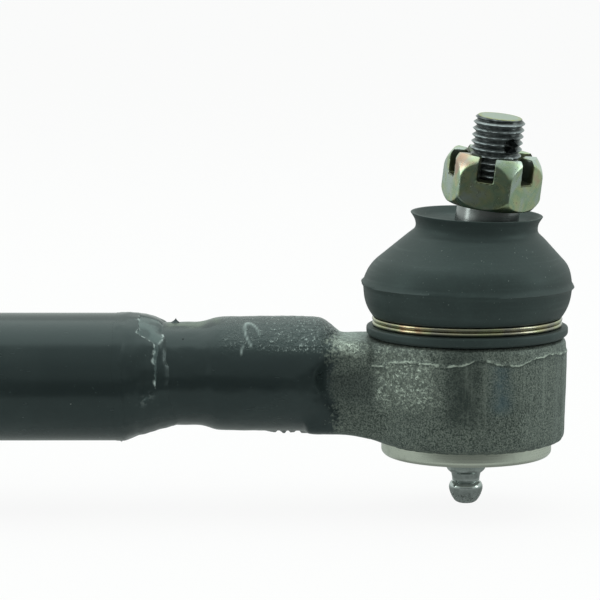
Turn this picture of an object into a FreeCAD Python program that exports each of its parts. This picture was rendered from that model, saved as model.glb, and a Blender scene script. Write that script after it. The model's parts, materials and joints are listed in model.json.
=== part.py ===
import FreeCAD, Part
import math
import os
import types

import Sketcher

# A steering rod: a tube welded to a forged arm, whose eye holds a ball stud under a rubber boot.
# The origin is the centre of the tube's open end, +X runs along the tube to the ball, +Z is the stud's side.
# Lengths are in millimetres and angles in degrees.
DRIVING_SIZES = (
    ("rod_length", 180.0, "tube's open end to the ball's centre"),
    ("tube_radius", 12.5, "outside of the tube"),
    ("tube_wall", 3.5, "wall of the tube"),
    ("tube_end_to_ball", 66.7, "tube's welded end to the ball's centre"),
    ("tube_chamfer", 0.7, "outer edge of the tube's open end"),
    ("tube_ream", 0.3, "welded end of the bore, reamed this much wider"),
    ("bead_lap", 2.4, "how far the weld runs back over the tube"),
    ("bead_run", 9.2, "how far the weld runs onto the arm's neck"),
    ("bead_crest", 4.4, "tube's end to the weld's shoulder"),
    ("bead_crown", 0.35, "crown of the weld above the tube"),
    ("bead_toe", 0.3, "thickness of the weld's last edge"),
    ("bead_lobe", 0.25, "inner edge of the weld's passes, tucked under the tube's edge"),
    ("bead_skew", 1.2, "passes of the weld askew to the tube"),
    ("bead_second_back", 0.8, "the weld's second pass is narrower by this"),
    ("bead_third_back", 1.2, "the weld's third pass is narrower by this"),
    ("arm_raise", 0.65, "arm's axis above the tube's axis"),
    ("spigot_clearance", 0.1, "arm's spigot in the tube's bore"),
    ("spigot_length", 14.0, "arm's spigot inside the tube"),
    ("spigot_end_gap", 0.5, "room beyond the spigot's end in the tube"),
    ("spigot_chamfer", 1.2, "lead-in of the spigot"),
    ("arm_neck_drop", 2.4, "arm's neck beside the weld, below the tube's outside"),
    ("arm_neck_to_ball", 51.2, "end of the neck to the ball's centre"),
    ("shank_height", 1.1, "round shank of the arm above its neck"),
    ("shank_step", 2.2, "slope from the neck up to the shank"),
    ("shank_to_ball", 28.2, "end of the round shank to the ball's centre"),
    ("shank_slope", 4.6, "length of the slope at the shank's end"),
    ("shank_drop", 3.9, "fall of the slope at the shank's end"),
    ("arm_half_width", 8.6, "flat part of the arm, half its width"),
    ("arm_side_half_width", 10.5, "arm where it meets the eye, half its width"),
    ("arm_root_half_width", 14.5, "arm inside the eye, half its width"),
    ("arm_root_to_ball", 8.3, "arm's end inside the eye to the ball's centre"),
    ("arm_depth", 10.6, "arm's underside below the ball's centre"),
    ("arm_corner", 3.2, "rounding along the arm's edges"),
    ("pocket_radius", 5.2, "hollow in the arm's side"),
    ("pocket_depth", 1.1, "depth of the hollow in the arm's side"),
    ("pocket_back", 1.0, "hollow's centre behind the end of the shank's slope"),
    ("pocket_height", 1.6, "hollow in the arm's side above the ball's centre"),
    ("eye_radius", 19.5, "outside of the eye"),
    ("eye_draft", 0.4, "the eye narrows by this towards its lower edge"),
    ("eye_top", 8.1, "eye's top face above the ball's centre"),
    ("eye_skirt", 11.0, "end of the eye's straight side below the ball's centre"),
    ("eye_floor", 12.1, "eye's lower face below the ball's centre"),
    ("eye_top_rounding", 0.9, "upper edge of the eye"),
    ("eye_floor_rounding", 1.1, "lower edge of the eye"),
    ("boss_radius", 16.6, "machined boss under the eye"),
    ("boss_height", 3.1, "machined boss below the eye's lower face"),
    ("boss_rounding", 0.9, "edge of the machined boss"),
    ("collar_radius", 14.4, "collar that carries the boot"),
    ("collar_height", 4.6, "collar above the eye's top face"),
    ("collar_bead", 0.45, "retaining bead round the collar"),
    ("collar_bead_height", 1.0, "height of the retaining bead"),
    ("collar_mouth_radius", 12.2, "opening at the collar's top"),
    ("ball_radius", 11.0, "ball of the stud"),
    ("ball_flat", 10.0, "flat of the ball below its centre"),
    ("ball_clearance", 0.06, "ball in its seats"),
    ("seat_wall", 1.54, "wall of both seats"),
    ("seat_clearance", 0.1, "seats in the eye's bore"),
    ("upper_seat_height", 6.4, "upper seat above the ball's centre"),
    ("seat_gap", 0.6, "gap between the two seats"),
    ("seat_floor", 12.2, "lower seat's underside below the ball's centre"),
    ("seat_hole_radius", 3.7, "grease hole in the lower seat"),
    ("spring_thickness", 0.55, "disc spring under the lower seat"),
    ("spring_hole_radius", 6.0, "hole of the disc spring"),
    ("spring_rim_gap", 0.5, "disc spring inside the eye's bore"),
    ("plate_radius", 14.2, "end plate"),
    ("plate_clearance", 0.1, "end plate in its recess"),
    ("plate_top", 13.2, "end plate's upper face below the ball's centre"),
    ("plate_thickness", 1.4, "end plate"),
    ("plate_hub_radius", 5.6, "raised hub of the end plate"),
    ("plate_hub_height", 0.9, "raised hub below the end plate"),
    ("lip_opening_radius", 13.0, "opening inside the rolled lip"),
    ("nipple_thread_radius", 2.95, "threaded shank of the nipple"),
    ("nipple_thread_clearance", 0.05, "nipple's shank in the end plate"),
    ("nipple_thread_length", 3.0, "threaded shank of the nipple above its hexagon"),
    ("nipple_flats", 7.0, "nipple's hexagon across its flats"),
    ("nipple_hexagon_height", 3.4, "nipple's hexagon"),
    ("nipple_hexagon_chamfer", 0.4, "corners of the nipple's hexagon"),
    ("nipple_neck_radius", 2.45, "nipple's neck"),
    ("nipple_neck_length", 1.3, "nipple's neck below the hexagon"),
    ("nipple_head_radius", 3.25, "nipple's head at its widest"),
    ("nipple_head_rise", 1.3, "slope from the neck out to the head"),
    ("nipple_head_band", 0.6, "straight band of the head"),
    ("nipple_tip_radius", 1.75, "flat tip of the nipple"),
    ("nipple_tip_length", 2.8, "taper from the band to the tip"),
    ("nipple_bore_radius", 1.3, "passage in the nipple"),
    ("nipple_inlet_radius", 0.75, "grease inlet in the nipple's tip"),
    ("nipple_seat_length", 0.6, "land of the grease inlet"),
    ("nipple_outlet_radius", 0.8, "staked outlet at the nipple's top"),
    ("nipple_stake_height", 0.5, "staked edge at the nipple's top"),
    ("check_ball_radius", 1.0, "check ball of the nipple"),
    ("check_ball_gap", 0.05, "check ball above its seat"),
    ("check_spring_radius", 0.9, "check spring, to the wire's centre"),
    ("check_wire_radius", 0.15, "flat wire of the check spring, half its width"),
    ("check_spring_turns", 5.0, "turns of the check spring"),
    ("boot_flange_radius", 19.6, "boot's foot flange"),
    ("boot_flange_thickness", 2.2, "boot's foot flange"),
    ("boot_flange_bevel", 0.4, "bevelled edges of the boot's foot flange"),
    ("boot_seat_gap", 0.12, "boot's foot above the eye and round the collar"),
    ("ring_wire_radius", 0.43, "wire of the boot's ring"),
    ("ring_pitch", 0.88, "one turn of the ring above the other"),
    ("ring_side_gap", 0.1, "ring beside the groove's walls"),
    ("ring_bed_gap", 0.05, "ring above the groove's floor"),
    ("ring_outer_radius", 18.5, "outside of the boot's ring"),
    ("ring_cross_angle", 34.0, "angle over which the wire climbs one turn"),
    ("boot_waist_radius", 18.4, "boot just above its groove"),
    ("boot_belly_radius", 20.2, "boot at its widest"),
    ("boot_belly_rise", 5.94, "boot's widest ring above its groove"),
    ("boot_seam_rise", 0.5, "moulding seam round the belly"),
    ("boot_seam_half_height", 0.68, "moulding seam, half its height"),
    ("boot_seam_crest", 0.23, "crest of the moulding seam, half its height"),
    ("boot_seam_slant", 1.1, "slant of the moulding seam"),
    ("boot_shoulder_curve", 6.65, "curve of the boot's shoulder, in section"),
    ("boot_slope_radius", 14.06, "boot's slope under its neck"),
    ("boot_slope_rise", 8.6, "boot's slope above its widest ring"),
    ("boot_neck_radius", 11.8, "boot's neck"),
    ("boot_neck_rise", 2.7, "boot's neck above its slope"),
    ("boot_neck_curve", 1.2, "height over which the neck turns to the rim"),
    ("boot_neck_flare", 0.6, "boot under its neck, wider than the neck"),
    ("boot_rim_flare", 0.2, "boot above its neck, wider than the neck"),
    ("boot_rim_radius", 12.8, "boot's upper rim"),
    ("boot_rim_rise", 2.5, "boot's upper rim above its neck"),
    ("boot_rim_thickness", 0.8, "boot's upper rim"),
    ("boot_wall", 1.9, "wall of the boot"),
    ("boot_neck_shift", 2.2, "boot's neck follows the stud by this"),
    ("boot_neck_slant", 2.6, "slant of the boot's neck"),
    ("boot_grip_gap", 0.1, "boot's neck round the stud"),
    ("boot_grip_length", 3.4, "length of the boot's grip on the stud"),
    ("boot_funnel_depth", 1.9, "funnel inside the boot's rim"),
    ("stud_lean", 8.6, "stud's lean at rest"),
    ("lean_turn", -42.0, "direction of the lean, round the ball from +X"),
    ("stud_turn", -15.0, "stud about its own axis, from the lean's direction"),
    ("nut_turn", 28.0, "nut about the stud's axis, from the lean's direction"),
    ("stud_neck_radius", 5.0, "stud under the taper"),
    ("stud_neck_rise", 2.7, "stud's neck above the eye's collar"),
    ("stud_flare", 3.5, "slope from the neck out to the taper"),
    ("taper_show", 2.2, "taper above the boot's rim"),
    ("taper_top_radius", 6.0, "taper's small end"),
    ("taper_slope", 0.0625, "growth of the taper's radius for each millimetre"),
    ("thread_radius", 4.95, "stud's thread over its crests"),
    ("thread_depth", 0.7, "stud's thread from crest to root"),
    ("thread_relief", 1.3, "undercut beside the taper"),
    ("thread_reach", 17.4, "stud's end above the taper"),
    ("stud_end_radius", 4.15, "flat end of the stud"),
    ("cotter_radius", 1.35, "cotter pin's hole"),
    ("cotter_drop", 5.1, "cotter pin's hole below the stud's end"),
    ("nut_gap", 0.3, "nut above the taper's small end"),
    ("nut_flats", 17.0, "nut across its flats"),
    ("nut_height", 10.0, "nut with its crown"),
    ("nut_slot_width", 3.2, "slots of the crown"),
    ("nut_slot_depth", 4.6, "slots of the crown"),
    ("nut_chamfer", 1.2, "corners of the nut"),
    ("nut_thread_clearance", 0.1, "nut's bore round the stud's thread"),
    ("nut_countersink", 0.6, "edge of the nut's bore"),
)

SHEET_NAME = "Sizes"
VERTICAL = "V_Axis"
HORIZONTAL = "H_Axis"
FULL_TURN = 360.0
QUARTER_TURN = 90.0
EDGE_STEPS = 3
BELLY_STEPS = 5
SHOULDER_STEPS = 4
HEXAGON_SIDES = 6
HALF_FACE_ANGLE = FULL_TURN / HEXAGON_SIDES / 2
WIRE_SIDES = 10
LEVEL = "rotation(vector(0; 0; 1); 0)"


class Size:
    """A size with the number it has now and the expression that ties it to the sheet."""

    def __init__(self, value, text):
        self.value = float(value)
        self.text = text

    @staticmethod
    def of(thing):
        if isinstance(thing, Size):
            return thing
        return Size(thing, repr(float(thing)))

    def __add__(self, other):
        other = Size.of(other)
        return Size(self.value + other.value, f"({self.text} + {other.text})")

    def __sub__(self, other):
        other = Size.of(other)
        return Size(self.value - other.value, f"({self.text} - {other.text})")

    def __mul__(self, other):
        other = Size.of(other)
        return Size(self.value * other.value, f"({self.text} * {other.text})")

    def __truediv__(self, other):
        other = Size.of(other)
        return Size(self.value / other.value, f"({self.text} / {other.text})")

    def __pow__(self, power):
        return Size(self.value ** power, f"({self.text} ^ {power})")

    def __neg__(self):
        return Size(-self.value, f"(-1 * {self.text})")

    def __rsub__(self, other):
        return Size.of(other) - self

    __radd__ = __add__
    __rmul__ = __mul__


ZERO = Size(0.0, "0")


def root(size):
    return Size(math.sqrt(size.value), f"sqrt({size.text})")


def cosine(size):
    return Size(math.cos(math.radians(size.value)), f"cos({size.text} * 1 deg)")


def sine(size):
    return Size(math.sin(math.radians(size.value)), f"sin({size.text} * 1 deg)")


def side_of(long_side, short_side):
    """The third side of a right-angled triangle."""
    return root(long_side * long_side - short_side * short_side)


doc = FreeCAD.newDocument("steering_rod")
sheet = doc.addObject("Spreadsheet::Sheet", SHEET_NAME)
for row, (alias, number, note) in enumerate(DRIVING_SIZES, start=1):
    sheet.set(f"A{row}", note)
    sheet.set(f"B{row}", str(number))
    sheet.setAlias(f"B{row}", alias)
doc.recompute()
named = {alias: Size(number, f"{SHEET_NAME}.{alias}") for alias, number, note in DRIVING_SIZES}
d = types.SimpleNamespace(**named)

# Sizes that follow from the driving ones.
tube_bore = d.tube_radius - d.tube_wall
tube_seat = tube_bore + d.tube_ream
tube_length = d.rod_length - d.tube_end_to_ball
arm_neck = d.tube_radius - d.arm_neck_drop
shank_radius = arm_neck + d.shank_height
eye_bore = d.ball_radius + d.ball_clearance + d.seat_wall + d.seat_clearance
seat_outside = eye_bore - d.seat_clearance
seat_inside = d.ball_radius + d.ball_clearance
boss_floor = d.eye_floor + d.boss_height
plate_floor = d.plate_top + d.plate_thickness
collar_top = d.eye_top + d.collar_height
nipple_seat = plate_floor + d.plate_hub_height
groove_floor = d.eye_top + d.boot_seat_gap + d.boot_flange_thickness
groove_roof = groove_floor + d.ring_pitch + 2 * d.ring_wire_radius + 2 * d.ring_side_gap
groove_radius = d.ring_outer_radius - 2 * d.ring_wire_radius - d.ring_bed_gap
ring_centre_radius = d.ring_outer_radius - d.ring_wire_radius
belly_height = groove_roof + d.boot_belly_rise
slope_height = belly_height + d.boot_slope_rise
neck_height = slope_height + d.boot_neck_rise
rim_height = neck_height + d.boot_rim_rise
taper_top = rim_height + d.taper_show
stud_end = taper_top + d.thread_reach
nut_floor = taper_top + d.nut_gap
nut_bore = d.thread_radius + d.nut_thread_clearance


def new_body(name):
    body = doc.addObject("PartDesign::Body", name)
    body.Label = name
    return body


def place(item, spin=ZERO, lean=ZERO, turn=ZERO):
    """Put a sub-part at the ball's centre, turned to the lean's direction, leaned and then spun."""
    about_z = "rotation(vector(0; 0; 1); {})"
    about_y = "rotation(vector(0; 1; 0); {})"
    steps = " * ".join((about_z.format(spin.text), about_y.format(lean.text), about_z.format(turn.text)))
    item.setExpression("Placement", f"placement(vector({d.rod_length.text}; 0; 0); {steps})")


def sketch_on(body, role, name, offset=None):
    """A sketch on one of the body's origin planes, moved by an offset expression where one is given."""
    plane = next(feature for feature in body.Origin.OriginFeatures if feature.Role == role)
    sketch = body.newObject("Sketcher::SketchObject", name)
    sketch.AttachmentSupport = (plane, [""])
    sketch.MapMode = "FlatFace"
    if offset:
        sketch.setExpression("AttachmentOffset", offset)
    return sketch


def offset_by(x=ZERO, y=ZERO, z=ZERO, axis="0; 1; 0", angle=ZERO):
    return f"placement(vector({x.text}; {y.text}; {z.text}); rotation(vector({axis}); {angle.text}))"


def pin(sketch, geometry, point, x, y):
    """Hold a sketch point at two sizes from the sketch's origin."""
    for size, kind, axis in ((x, "DistanceX", -2), (y, "DistanceY", -1)):
        if size is ZERO:
            sketch.addConstraint(Sketcher.Constraint("PointOnObject", geometry, point, axis))
        else:
            index = sketch.addConstraint(Sketcher.Constraint(kind, -1, 1, geometry, point, size.value))
            sketch.setExpression(f"Constraints[{index}]", size.text)


def circle(sketch, radius, x=ZERO, y=ZERO):
    centre = FreeCAD.Vector(x.value, y.value, 0)
    index = sketch.addGeometry(Part.Circle(centre, FreeCAD.Vector(0, 0, 1), radius.value))
    pin(sketch, index, 3, x, y)
    bound = sketch.addConstraint(Sketcher.Constraint("Radius", index, radius.value))
    sketch.setExpression(f"Constraints[{bound}]", radius.text)


def arc_between(start, end, radius, left):
    """A sketch arc from start to end, with its middle to the left or the right of the straight way."""
    chord = end - start
    half = chord.Length / 2
    rise = math.sqrt(max(radius * radius - half * half, 0.0))
    across = FreeCAD.Vector(-chord.y, chord.x, 0).normalize()
    centre = (start + end) * 0.5 - across * (rise if left else -rise)
    first, last = (end, start) if left else (start, end)
    angles = [math.atan2(point.y - centre.y, point.x - centre.x) for point in (first, last)]
    if angles[1] < angles[0]:
        angles[1] += 2 * math.pi
    whole = Part.Circle(centre, FreeCAD.Vector(0, 0, 1), radius)
    return Part.ArcOfCircle(whole, angles[0], angles[1])


def outline(sketch, *corners):
    """A closed outline. Each corner is (x, y), or (x, y, radius, side) where an arc leads on from it."""
    points = [FreeCAD.Vector(corner[0].value, corner[1].value, 0) for corner in corners]
    ends = []
    for number, corner in enumerate(corners):
        start = points[number]
        end = points[(number + 1) % len(points)]
        if len(corner) == 2:
            index = sketch.addGeometry(Part.LineSegment(start, end))
            ends.append(((index, 1), (index, 2)))
        else:
            left = corner[3] == "left"
            index = sketch.addGeometry(arc_between(start, end, corner[2].value, left))
            ends.append(((index, 2), (index, 1)) if left else ((index, 1), (index, 2)))
    for number, corner in enumerate(corners):
        following = ends[(number + 1) % len(corners)][0]
        sketch.addConstraint(Sketcher.Constraint("Coincident", *ends[number][1], *following))
    for number, corner in enumerate(corners):
        geometry, point = ends[number][0]
        pin(sketch, geometry, point, corner[0], corner[1])
        if len(corner) == 4:
            bound = sketch.addConstraint(Sketcher.Constraint("Radius", geometry, corner[2].value))
            sketch.setExpression(f"Constraints[{bound}]", corner[2].text)


def turn_feature(body, sketch, kind, axis, name):
    feature = body.newObject(f"PartDesign::{kind}", name)
    feature.Profile = sketch
    feature.ReferenceAxis = (sketch, [axis])
    feature.Angle = FULL_TURN
    return feature


def revolve(body, sketch, axis, name):
    return turn_feature(body, sketch, "Revolution", axis, name)


def groove(body, sketch, axis, name):
    """Turn a sketch into a cut, which has to take material away."""
    doc.recompute()
    before = body.Shape.Volume
    feature = turn_feature(body, sketch, "Groove", axis, name)
    doc.recompute()
    if not body.Shape.Volume < before:
        raise RuntimeError(f"{name} cuts nothing")
    return feature


def extrude(body, sketch, kind, length, name, **settings):
    feature = body.newObject(f"PartDesign::{kind}", name)
    feature.Profile = sketch
    for setting, value in settings.items():
        setattr(feature, setting, value)
    if length:
        feature.setExpression("Length", length.text)
    return feature


def pocket(body, sketch, length, name, **settings):
    """Cut a sketch straight into the solid, which has to take material away."""
    doc.recompute()
    before = body.Shape.Volume
    feature = extrude(body, sketch, "Pocket", length, name, **settings)
    doc.recompute()
    if not body.Shape.Volume < before:
        raise RuntimeError(f"{name} cuts nothing")
    return feature


def loft(body, sketches, kind, name, ruled=False):
    feature = body.newObject(f"PartDesign::{kind}", name)
    feature.Profile = sketches[0]
    feature.Sections = sketches[1:]
    feature.Ruled = ruled
    return feature


def hexagon(sketch, across_flats):
    """A hexagon about the sketch's origin, with a corner on its horizontal axis."""
    corner = corner_radius(across_flats)
    corners = []
    for number in range(HEXAGON_SIDES):
        angle = Size.of(2 * number * HALF_FACE_ANGLE)
        x = corner * cosine(angle)
        y = ZERO if number % (HEXAGON_SIDES // 2) == 0 else corner * sine(angle)
        corners.append((x, y))
    outline(sketch, *corners)


def corner_radius(across_flats):
    """A hexagon's corner from its centre."""
    return across_flats / 2 / cosine(Size.of(HALF_FACE_ANGLE))


def rounded(x, y, radius, first=False):
    """Corners of a lower edge rounded by short cones, from its side at (x, y) in to its floor."""
    steps = range(0 if first else 1, EDGE_STEPS + 1)
    angles = [Size.of(step * QUARTER_TURN / EDGE_STEPS) for step in steps]
    return [(x - radius * (1 - cosine(angle)), y - radius * sine(angle)) for angle in angles]


def rounded_box(sketch, half_width, bottom, top, corner):
    """A section of the arm: a box with round corners, its height measured from the ball's centre."""
    inner = half_width - corner
    outline(
        sketch,
        (-inner, bottom),
        (inner, bottom, corner, "right"),
        (half_width, bottom + corner),
        (half_width, top - corner, corner, "right"),
        (inner, top),
        (-inner, top, corner, "right"),
        (-half_width, top - corner),
        (-half_width, bottom + corner, corner, "right"),
    )


def make_rod_tube():
    """The tube, sawn off at its open end and reamed at its welded end for the arm's spigot."""
    body = new_body("rod_tube")
    profile = sketch_on(body, "XZ_Plane", "tube_section")
    seat_start = tube_length - d.spigot_length - d.spigot_end_gap
    outline(
        profile,
        (ZERO, tube_bore),
        (seat_start, tube_bore),
        (seat_start, tube_seat),
        (tube_length, tube_seat),
        (tube_length, d.tube_radius),
        (d.tube_chamfer, d.tube_radius),
        (ZERO, d.tube_radius - d.tube_chamfer),
    )
    revolve(body, profile, HORIZONTAL, "tube_wall")
    return body


def make_weld_bead():
    """The weld round the joint of tube and arm: turned passes that lie a little askew to each other."""
    body = new_body("weld_bead")
    toe_radius = arm_neck + d.bead_toe
    low = d.tube_radius - d.bead_lobe
    inside = tube_seat + d.bead_lobe
    shoulder = (d.bead_crest + d.bead_run) / 2
    shoulder_radius = (d.tube_radius + toe_radius) / 2 + d.bead_crown
    passes = (
        ("first", "XZ_Plane", d.bead_skew, ZERO),
        ("second", "XY_Plane", -d.bead_skew, d.bead_second_back),
        ("third", "XZ_Plane", -d.bead_skew, d.bead_third_back),
    )
    for name, plane, skew, back in passes:
        askew = offset_by(x=tube_length, axis="0; 0; 1", angle=skew)
        profile = sketch_on(body, plane, f"{name}_pass_section", askew)
        outline(
            profile,
            (-d.bead_lap + back, low),
            (-back / 2, d.tube_radius + d.bead_crown),
            (d.bead_crest - back, d.tube_radius),
            (shoulder - back / 2, shoulder_radius),
            (d.bead_run - back, toe_radius),
            (d.bead_run - back, inside),
            (-d.bead_lap + back, inside),
        )
        revolve(body, profile, HORIZONTAL, f"{name}_pass")
    tube_room = sketch_on(body, "XZ_Plane", "tube_room", offset_by(x=tube_length))
    far = d.bead_run + d.bead_lap
    outline(
        tube_room,
        (-far, ZERO),
        (far, ZERO),
        (far, inside + d.bead_lobe),
        (ZERO, inside + d.bead_lobe),
        (ZERO, d.tube_radius),
        (-far, d.tube_radius),
    )
    groove(body, tube_room, HORIZONTAL, "tube_opening")
    neck = sketch_on(body, "YZ_Plane", "neck_room")
    circle(neck, arm_neck, y=d.arm_raise)
    pocket(body, neck, None, "neck_opening", Type="ThroughAll", Midplane=True)
    return body


def make_ball_housing():
    body = new_body("ball_housing")
    eye = sketch_on(body, "XZ_Plane", "eye_section")
    side_foot = d.eye_radius - d.eye_draft
    bead_foot = collar_top - d.collar_bead_height
    outline(
        eye,
        (ZERO, collar_top),
        (d.collar_radius + d.collar_bead, collar_top),
        (d.collar_radius + d.collar_bead, bead_foot),
        (d.collar_radius, bead_foot),
        (d.collar_radius, d.eye_top),
        (d.eye_radius - d.eye_top_rounding, d.eye_top),
        (d.eye_radius, d.eye_top - d.eye_top_rounding),
        (side_foot, -d.eye_skirt),
        *rounded(side_foot, -d.eye_skirt, d.eye_floor_rounding),
        (d.boss_radius, -d.eye_floor),
        *rounded(d.boss_radius, -(boss_floor - d.boss_rounding), d.boss_rounding, first=True),
        (ZERO, -boss_floor),
    )
    revolve(body, eye, VERTICAL, "eye")

    shank = sketch_on(body, "XZ_Plane", "shank_section", offset_by(y=d.arm_raise))
    neck_start = -d.tube_end_to_ball
    neck_end = -d.arm_neck_to_ball
    shank_end = -d.shank_to_ball
    slope_end = shank_end + d.shank_slope
    outline(
        shank,
        (neck_start, ZERO),
        (neck_start, arm_neck),
        (neck_end, arm_neck),
        (neck_end + d.shank_step, shank_radius),
        (shank_end, shank_radius),
        (slope_end, shank_radius - d.shank_drop),
        (slope_end, ZERO),
    )
    revolve(body, shank, HORIZONTAL, "shank")

    spigot = sketch_on(body, "XZ_Plane", "spigot_section")
    spigot_radius = tube_seat - d.spigot_clearance
    spigot_start = neck_start - d.spigot_length
    outline(
        spigot,
        (spigot_start, ZERO),
        (spigot_start, spigot_radius - d.spigot_chamfer),
        (spigot_start + d.spigot_chamfer, spigot_radius),
        (neck_start, spigot_radius),
        (neck_start, ZERO),
    )
    revolve(body, spigot, HORIZONTAL, "spigot")

    arm_sections = []
    stations = (
        ("arm_at_shank", -(d.shank_to_ball + d.arm_corner), d.arm_half_width, -d.arm_depth),
        ("arm_at_slope", slope_end, d.arm_half_width, -d.arm_depth),
        ("arm_at_side", -(d.eye_radius - d.arm_corner), d.arm_side_half_width, -d.eye_floor + d.eye_draft),
        ("arm_in_eye", -d.arm_root_to_ball, d.arm_root_half_width, -d.eye_floor),
    )
    for name, station, half_width, bottom in stations:
        section = sketch_on(body, "YZ_Plane", name, offset_by(z=station))
        rounded_box(section, half_width, bottom, d.eye_top, d.arm_corner)
        arm_sections.append(section)
    loft(body, arm_sections, "AdditiveLoft", "arm", ruled=True)

    for name, side in (("near", -1), ("far", 1)):
        hollow = body.newObject("PartDesign::SubtractiveSphere", f"arm_pocket_{name}")
        hollow.setExpression("Radius", d.pocket_radius.text)
        x = slope_end - d.pocket_back
        y = side * (d.arm_half_width + d.pocket_radius - d.pocket_depth)
        spot = f"vector({x.text}; {y.text}; {d.pocket_height.text})"
        hollow.setExpression("Placement", f"placement({spot}; {LEVEL})")

    cavity = sketch_on(body, "XZ_Plane", "cavity_section")
    crown_height = d.eye_top - d.eye_top_rounding
    crown_radius = side_of(eye_bore, crown_height)
    recess = d.plate_radius + d.plate_clearance
    outline(
        cavity,
        (ZERO, collar_top),
        (d.collar_mouth_radius, collar_top),
        (crown_radius, crown_height, eye_bore, "left"),
        (eye_bore, ZERO),
        (eye_bore, -d.plate_top),
        (recess, -d.plate_top),
        (recess, -plate_floor),
        (d.lip_opening_radius, -plate_floor),
        (d.lip_opening_radius, -boss_floor),
        (ZERO, -boss_floor),
    )
    groove(body, cavity, VERTICAL, "cavity")
    place(body)
    return body


def make_upper_seat():
    body = new_body("upper_seat")
    profile = sketch_on(body, "XZ_Plane", "upper_seat_section")
    top = d.upper_seat_height
    bottom = -d.seat_gap / 2
    outline(
        profile,
        (side_of(seat_inside, d.seat_gap / 2), bottom),
        (seat_outside, bottom),
        (seat_outside, ZERO, seat_outside, "right"),
        (side_of(seat_outside, top), top),
        (side_of(seat_inside, top), top, seat_inside, "left"),
    )
    revolve(body, profile, VERTICAL, "upper_cup")
    place(body)
    return body


def make_lower_seat():
    body = new_body("lower_seat")
    profile = sketch_on(body, "XZ_Plane", "lower_seat_section")
    rim = d.seat_gap / 2
    hole_depth = side_of(seat_inside, d.seat_hole_radius)
    outline(
        profile,
        (d.seat_hole_radius, -d.seat_floor),
        (seat_outside, -d.seat_floor),
        (seat_outside, -rim),
        (side_of(seat_inside, rim), -rim, seat_inside, "left"),
        (d.seat_hole_radius, -hole_depth),
    )
    revolve(body, profile, VERTICAL, "lower_cup")
    place(body)
    return body


def make_disc_spring():
    body = new_body("disc_spring")
    profile = sketch_on(body, "XZ_Plane", "spring_section")
    rim = seat_outside - d.spring_rim_gap
    outline(
        profile,
        (d.spring_hole_radius, -d.seat_floor),
        (d.spring_hole_radius, -(d.seat_floor + d.spring_thickness)),
        (rim, -d.plate_top),
        (rim, -(d.plate_top - d.spring_thickness)),
    )
    revolve(body, profile, VERTICAL, "dished_disc")
    place(body)
    return body


def make_end_plate():
    body = new_body("end_plate")
    profile = sketch_on(body, "XZ_Plane", "plate_section")
    hole = d.nipple_thread_radius + d.nipple_thread_clearance
    outline(
        profile,
        (hole, -d.plate_top),
        (d.plate_radius, -d.plate_top),
        (d.plate_radius, -plate_floor),
        (d.plate_hub_radius + d.plate_hub_height, -plate_floor),
        (d.plate_hub_radius, -nipple_seat),
        (hole, -nipple_seat),
    )
    revolve(body, profile, VERTICAL, "plate")
    place(body)
    return body


def make_nipple_body():
    body = new_body("nipple_body")
    head = sketch_on(body, "XZ_Plane", "nipple_section")
    top = nipple_seat - d.nipple_thread_length
    hexagon_floor = nipple_seat + d.nipple_hexagon_height
    neck_floor = hexagon_floor + d.nipple_neck_length
    head_top = neck_floor + d.nipple_head_rise
    head_floor = head_top + d.nipple_head_band
    tip = head_floor + d.nipple_tip_length
    outline(
        head,
        (ZERO, -top),
        (d.nipple_thread_radius, -top),
        (d.nipple_thread_radius, -hexagon_floor),
        (d.nipple_neck_radius, -neck_floor),
        (d.nipple_head_radius, -head_top),
        (d.nipple_head_radius, -head_floor),
        (d.nipple_tip_radius, -tip),
        (ZERO, -tip),
    )
    revolve(body, head, VERTICAL, "nipple_turning")
    flats = sketch_on(body, "XY_Plane", "nipple_flats", offset_by(z=-hexagon_floor))
    hexagon(flats, d.nipple_flats)
    extrude(body, flats, "Pad", d.nipple_hexagon_height, "nipple_hexagon")
    corner = corner_radius(d.nipple_flats)
    for name, level, inward in (("upper", -nipple_seat, -1), ("lower", -hexagon_floor, 1)):
        cut = sketch_on(body, "XZ_Plane", f"nipple_{name}_chamfer")
        outline(
            cut,
            (corner - d.nipple_hexagon_chamfer, level),
            (corner + d.nipple_hexagon_chamfer, level),
            (corner + d.nipple_hexagon_chamfer, level + inward * d.nipple_hexagon_chamfer),
        )
        groove(body, cut, VERTICAL, f"nipple_{name}_corners")
    passage = sketch_on(body, "XZ_Plane", "nipple_passage")
    inlet_top = tip - d.nipple_seat_length
    seat_top = inlet_top - (d.nipple_bore_radius - d.nipple_inlet_radius)
    outline(
        passage,
        (ZERO, -top),
        (d.nipple_outlet_radius, -top),
        (d.nipple_outlet_radius, -(top + d.nipple_stake_height)),
        (d.nipple_bore_radius, -(top + d.nipple_stake_height)),
        (d.nipple_bore_radius, -seat_top),
        (d.nipple_inlet_radius, -inlet_top),
        (d.nipple_inlet_radius, -tip),
        (ZERO, -tip),
    )
    groove(body, passage, VERTICAL, "nipple_bore")
    place(body)
    seat_apex = inlet_top + d.nipple_inlet_radius
    ball_centre = seat_apex - d.check_ball_radius * math.sqrt(2) - d.check_ball_gap
    return body, ball_centre, top + d.nipple_stake_height


def make_check_ball(ball_centre):
    ball = doc.addObject("Part::Sphere", "nipple_check_ball")
    ball.Label = "nipple_check_ball"
    ball.setExpression("Radius", d.check_ball_radius.text)
    spot = f"vector({d.rod_length.text}; 0; {(-ball_centre).text})"
    ball.setExpression("Placement", f"placement({spot}; {LEVEL})")
    return ball


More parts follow.
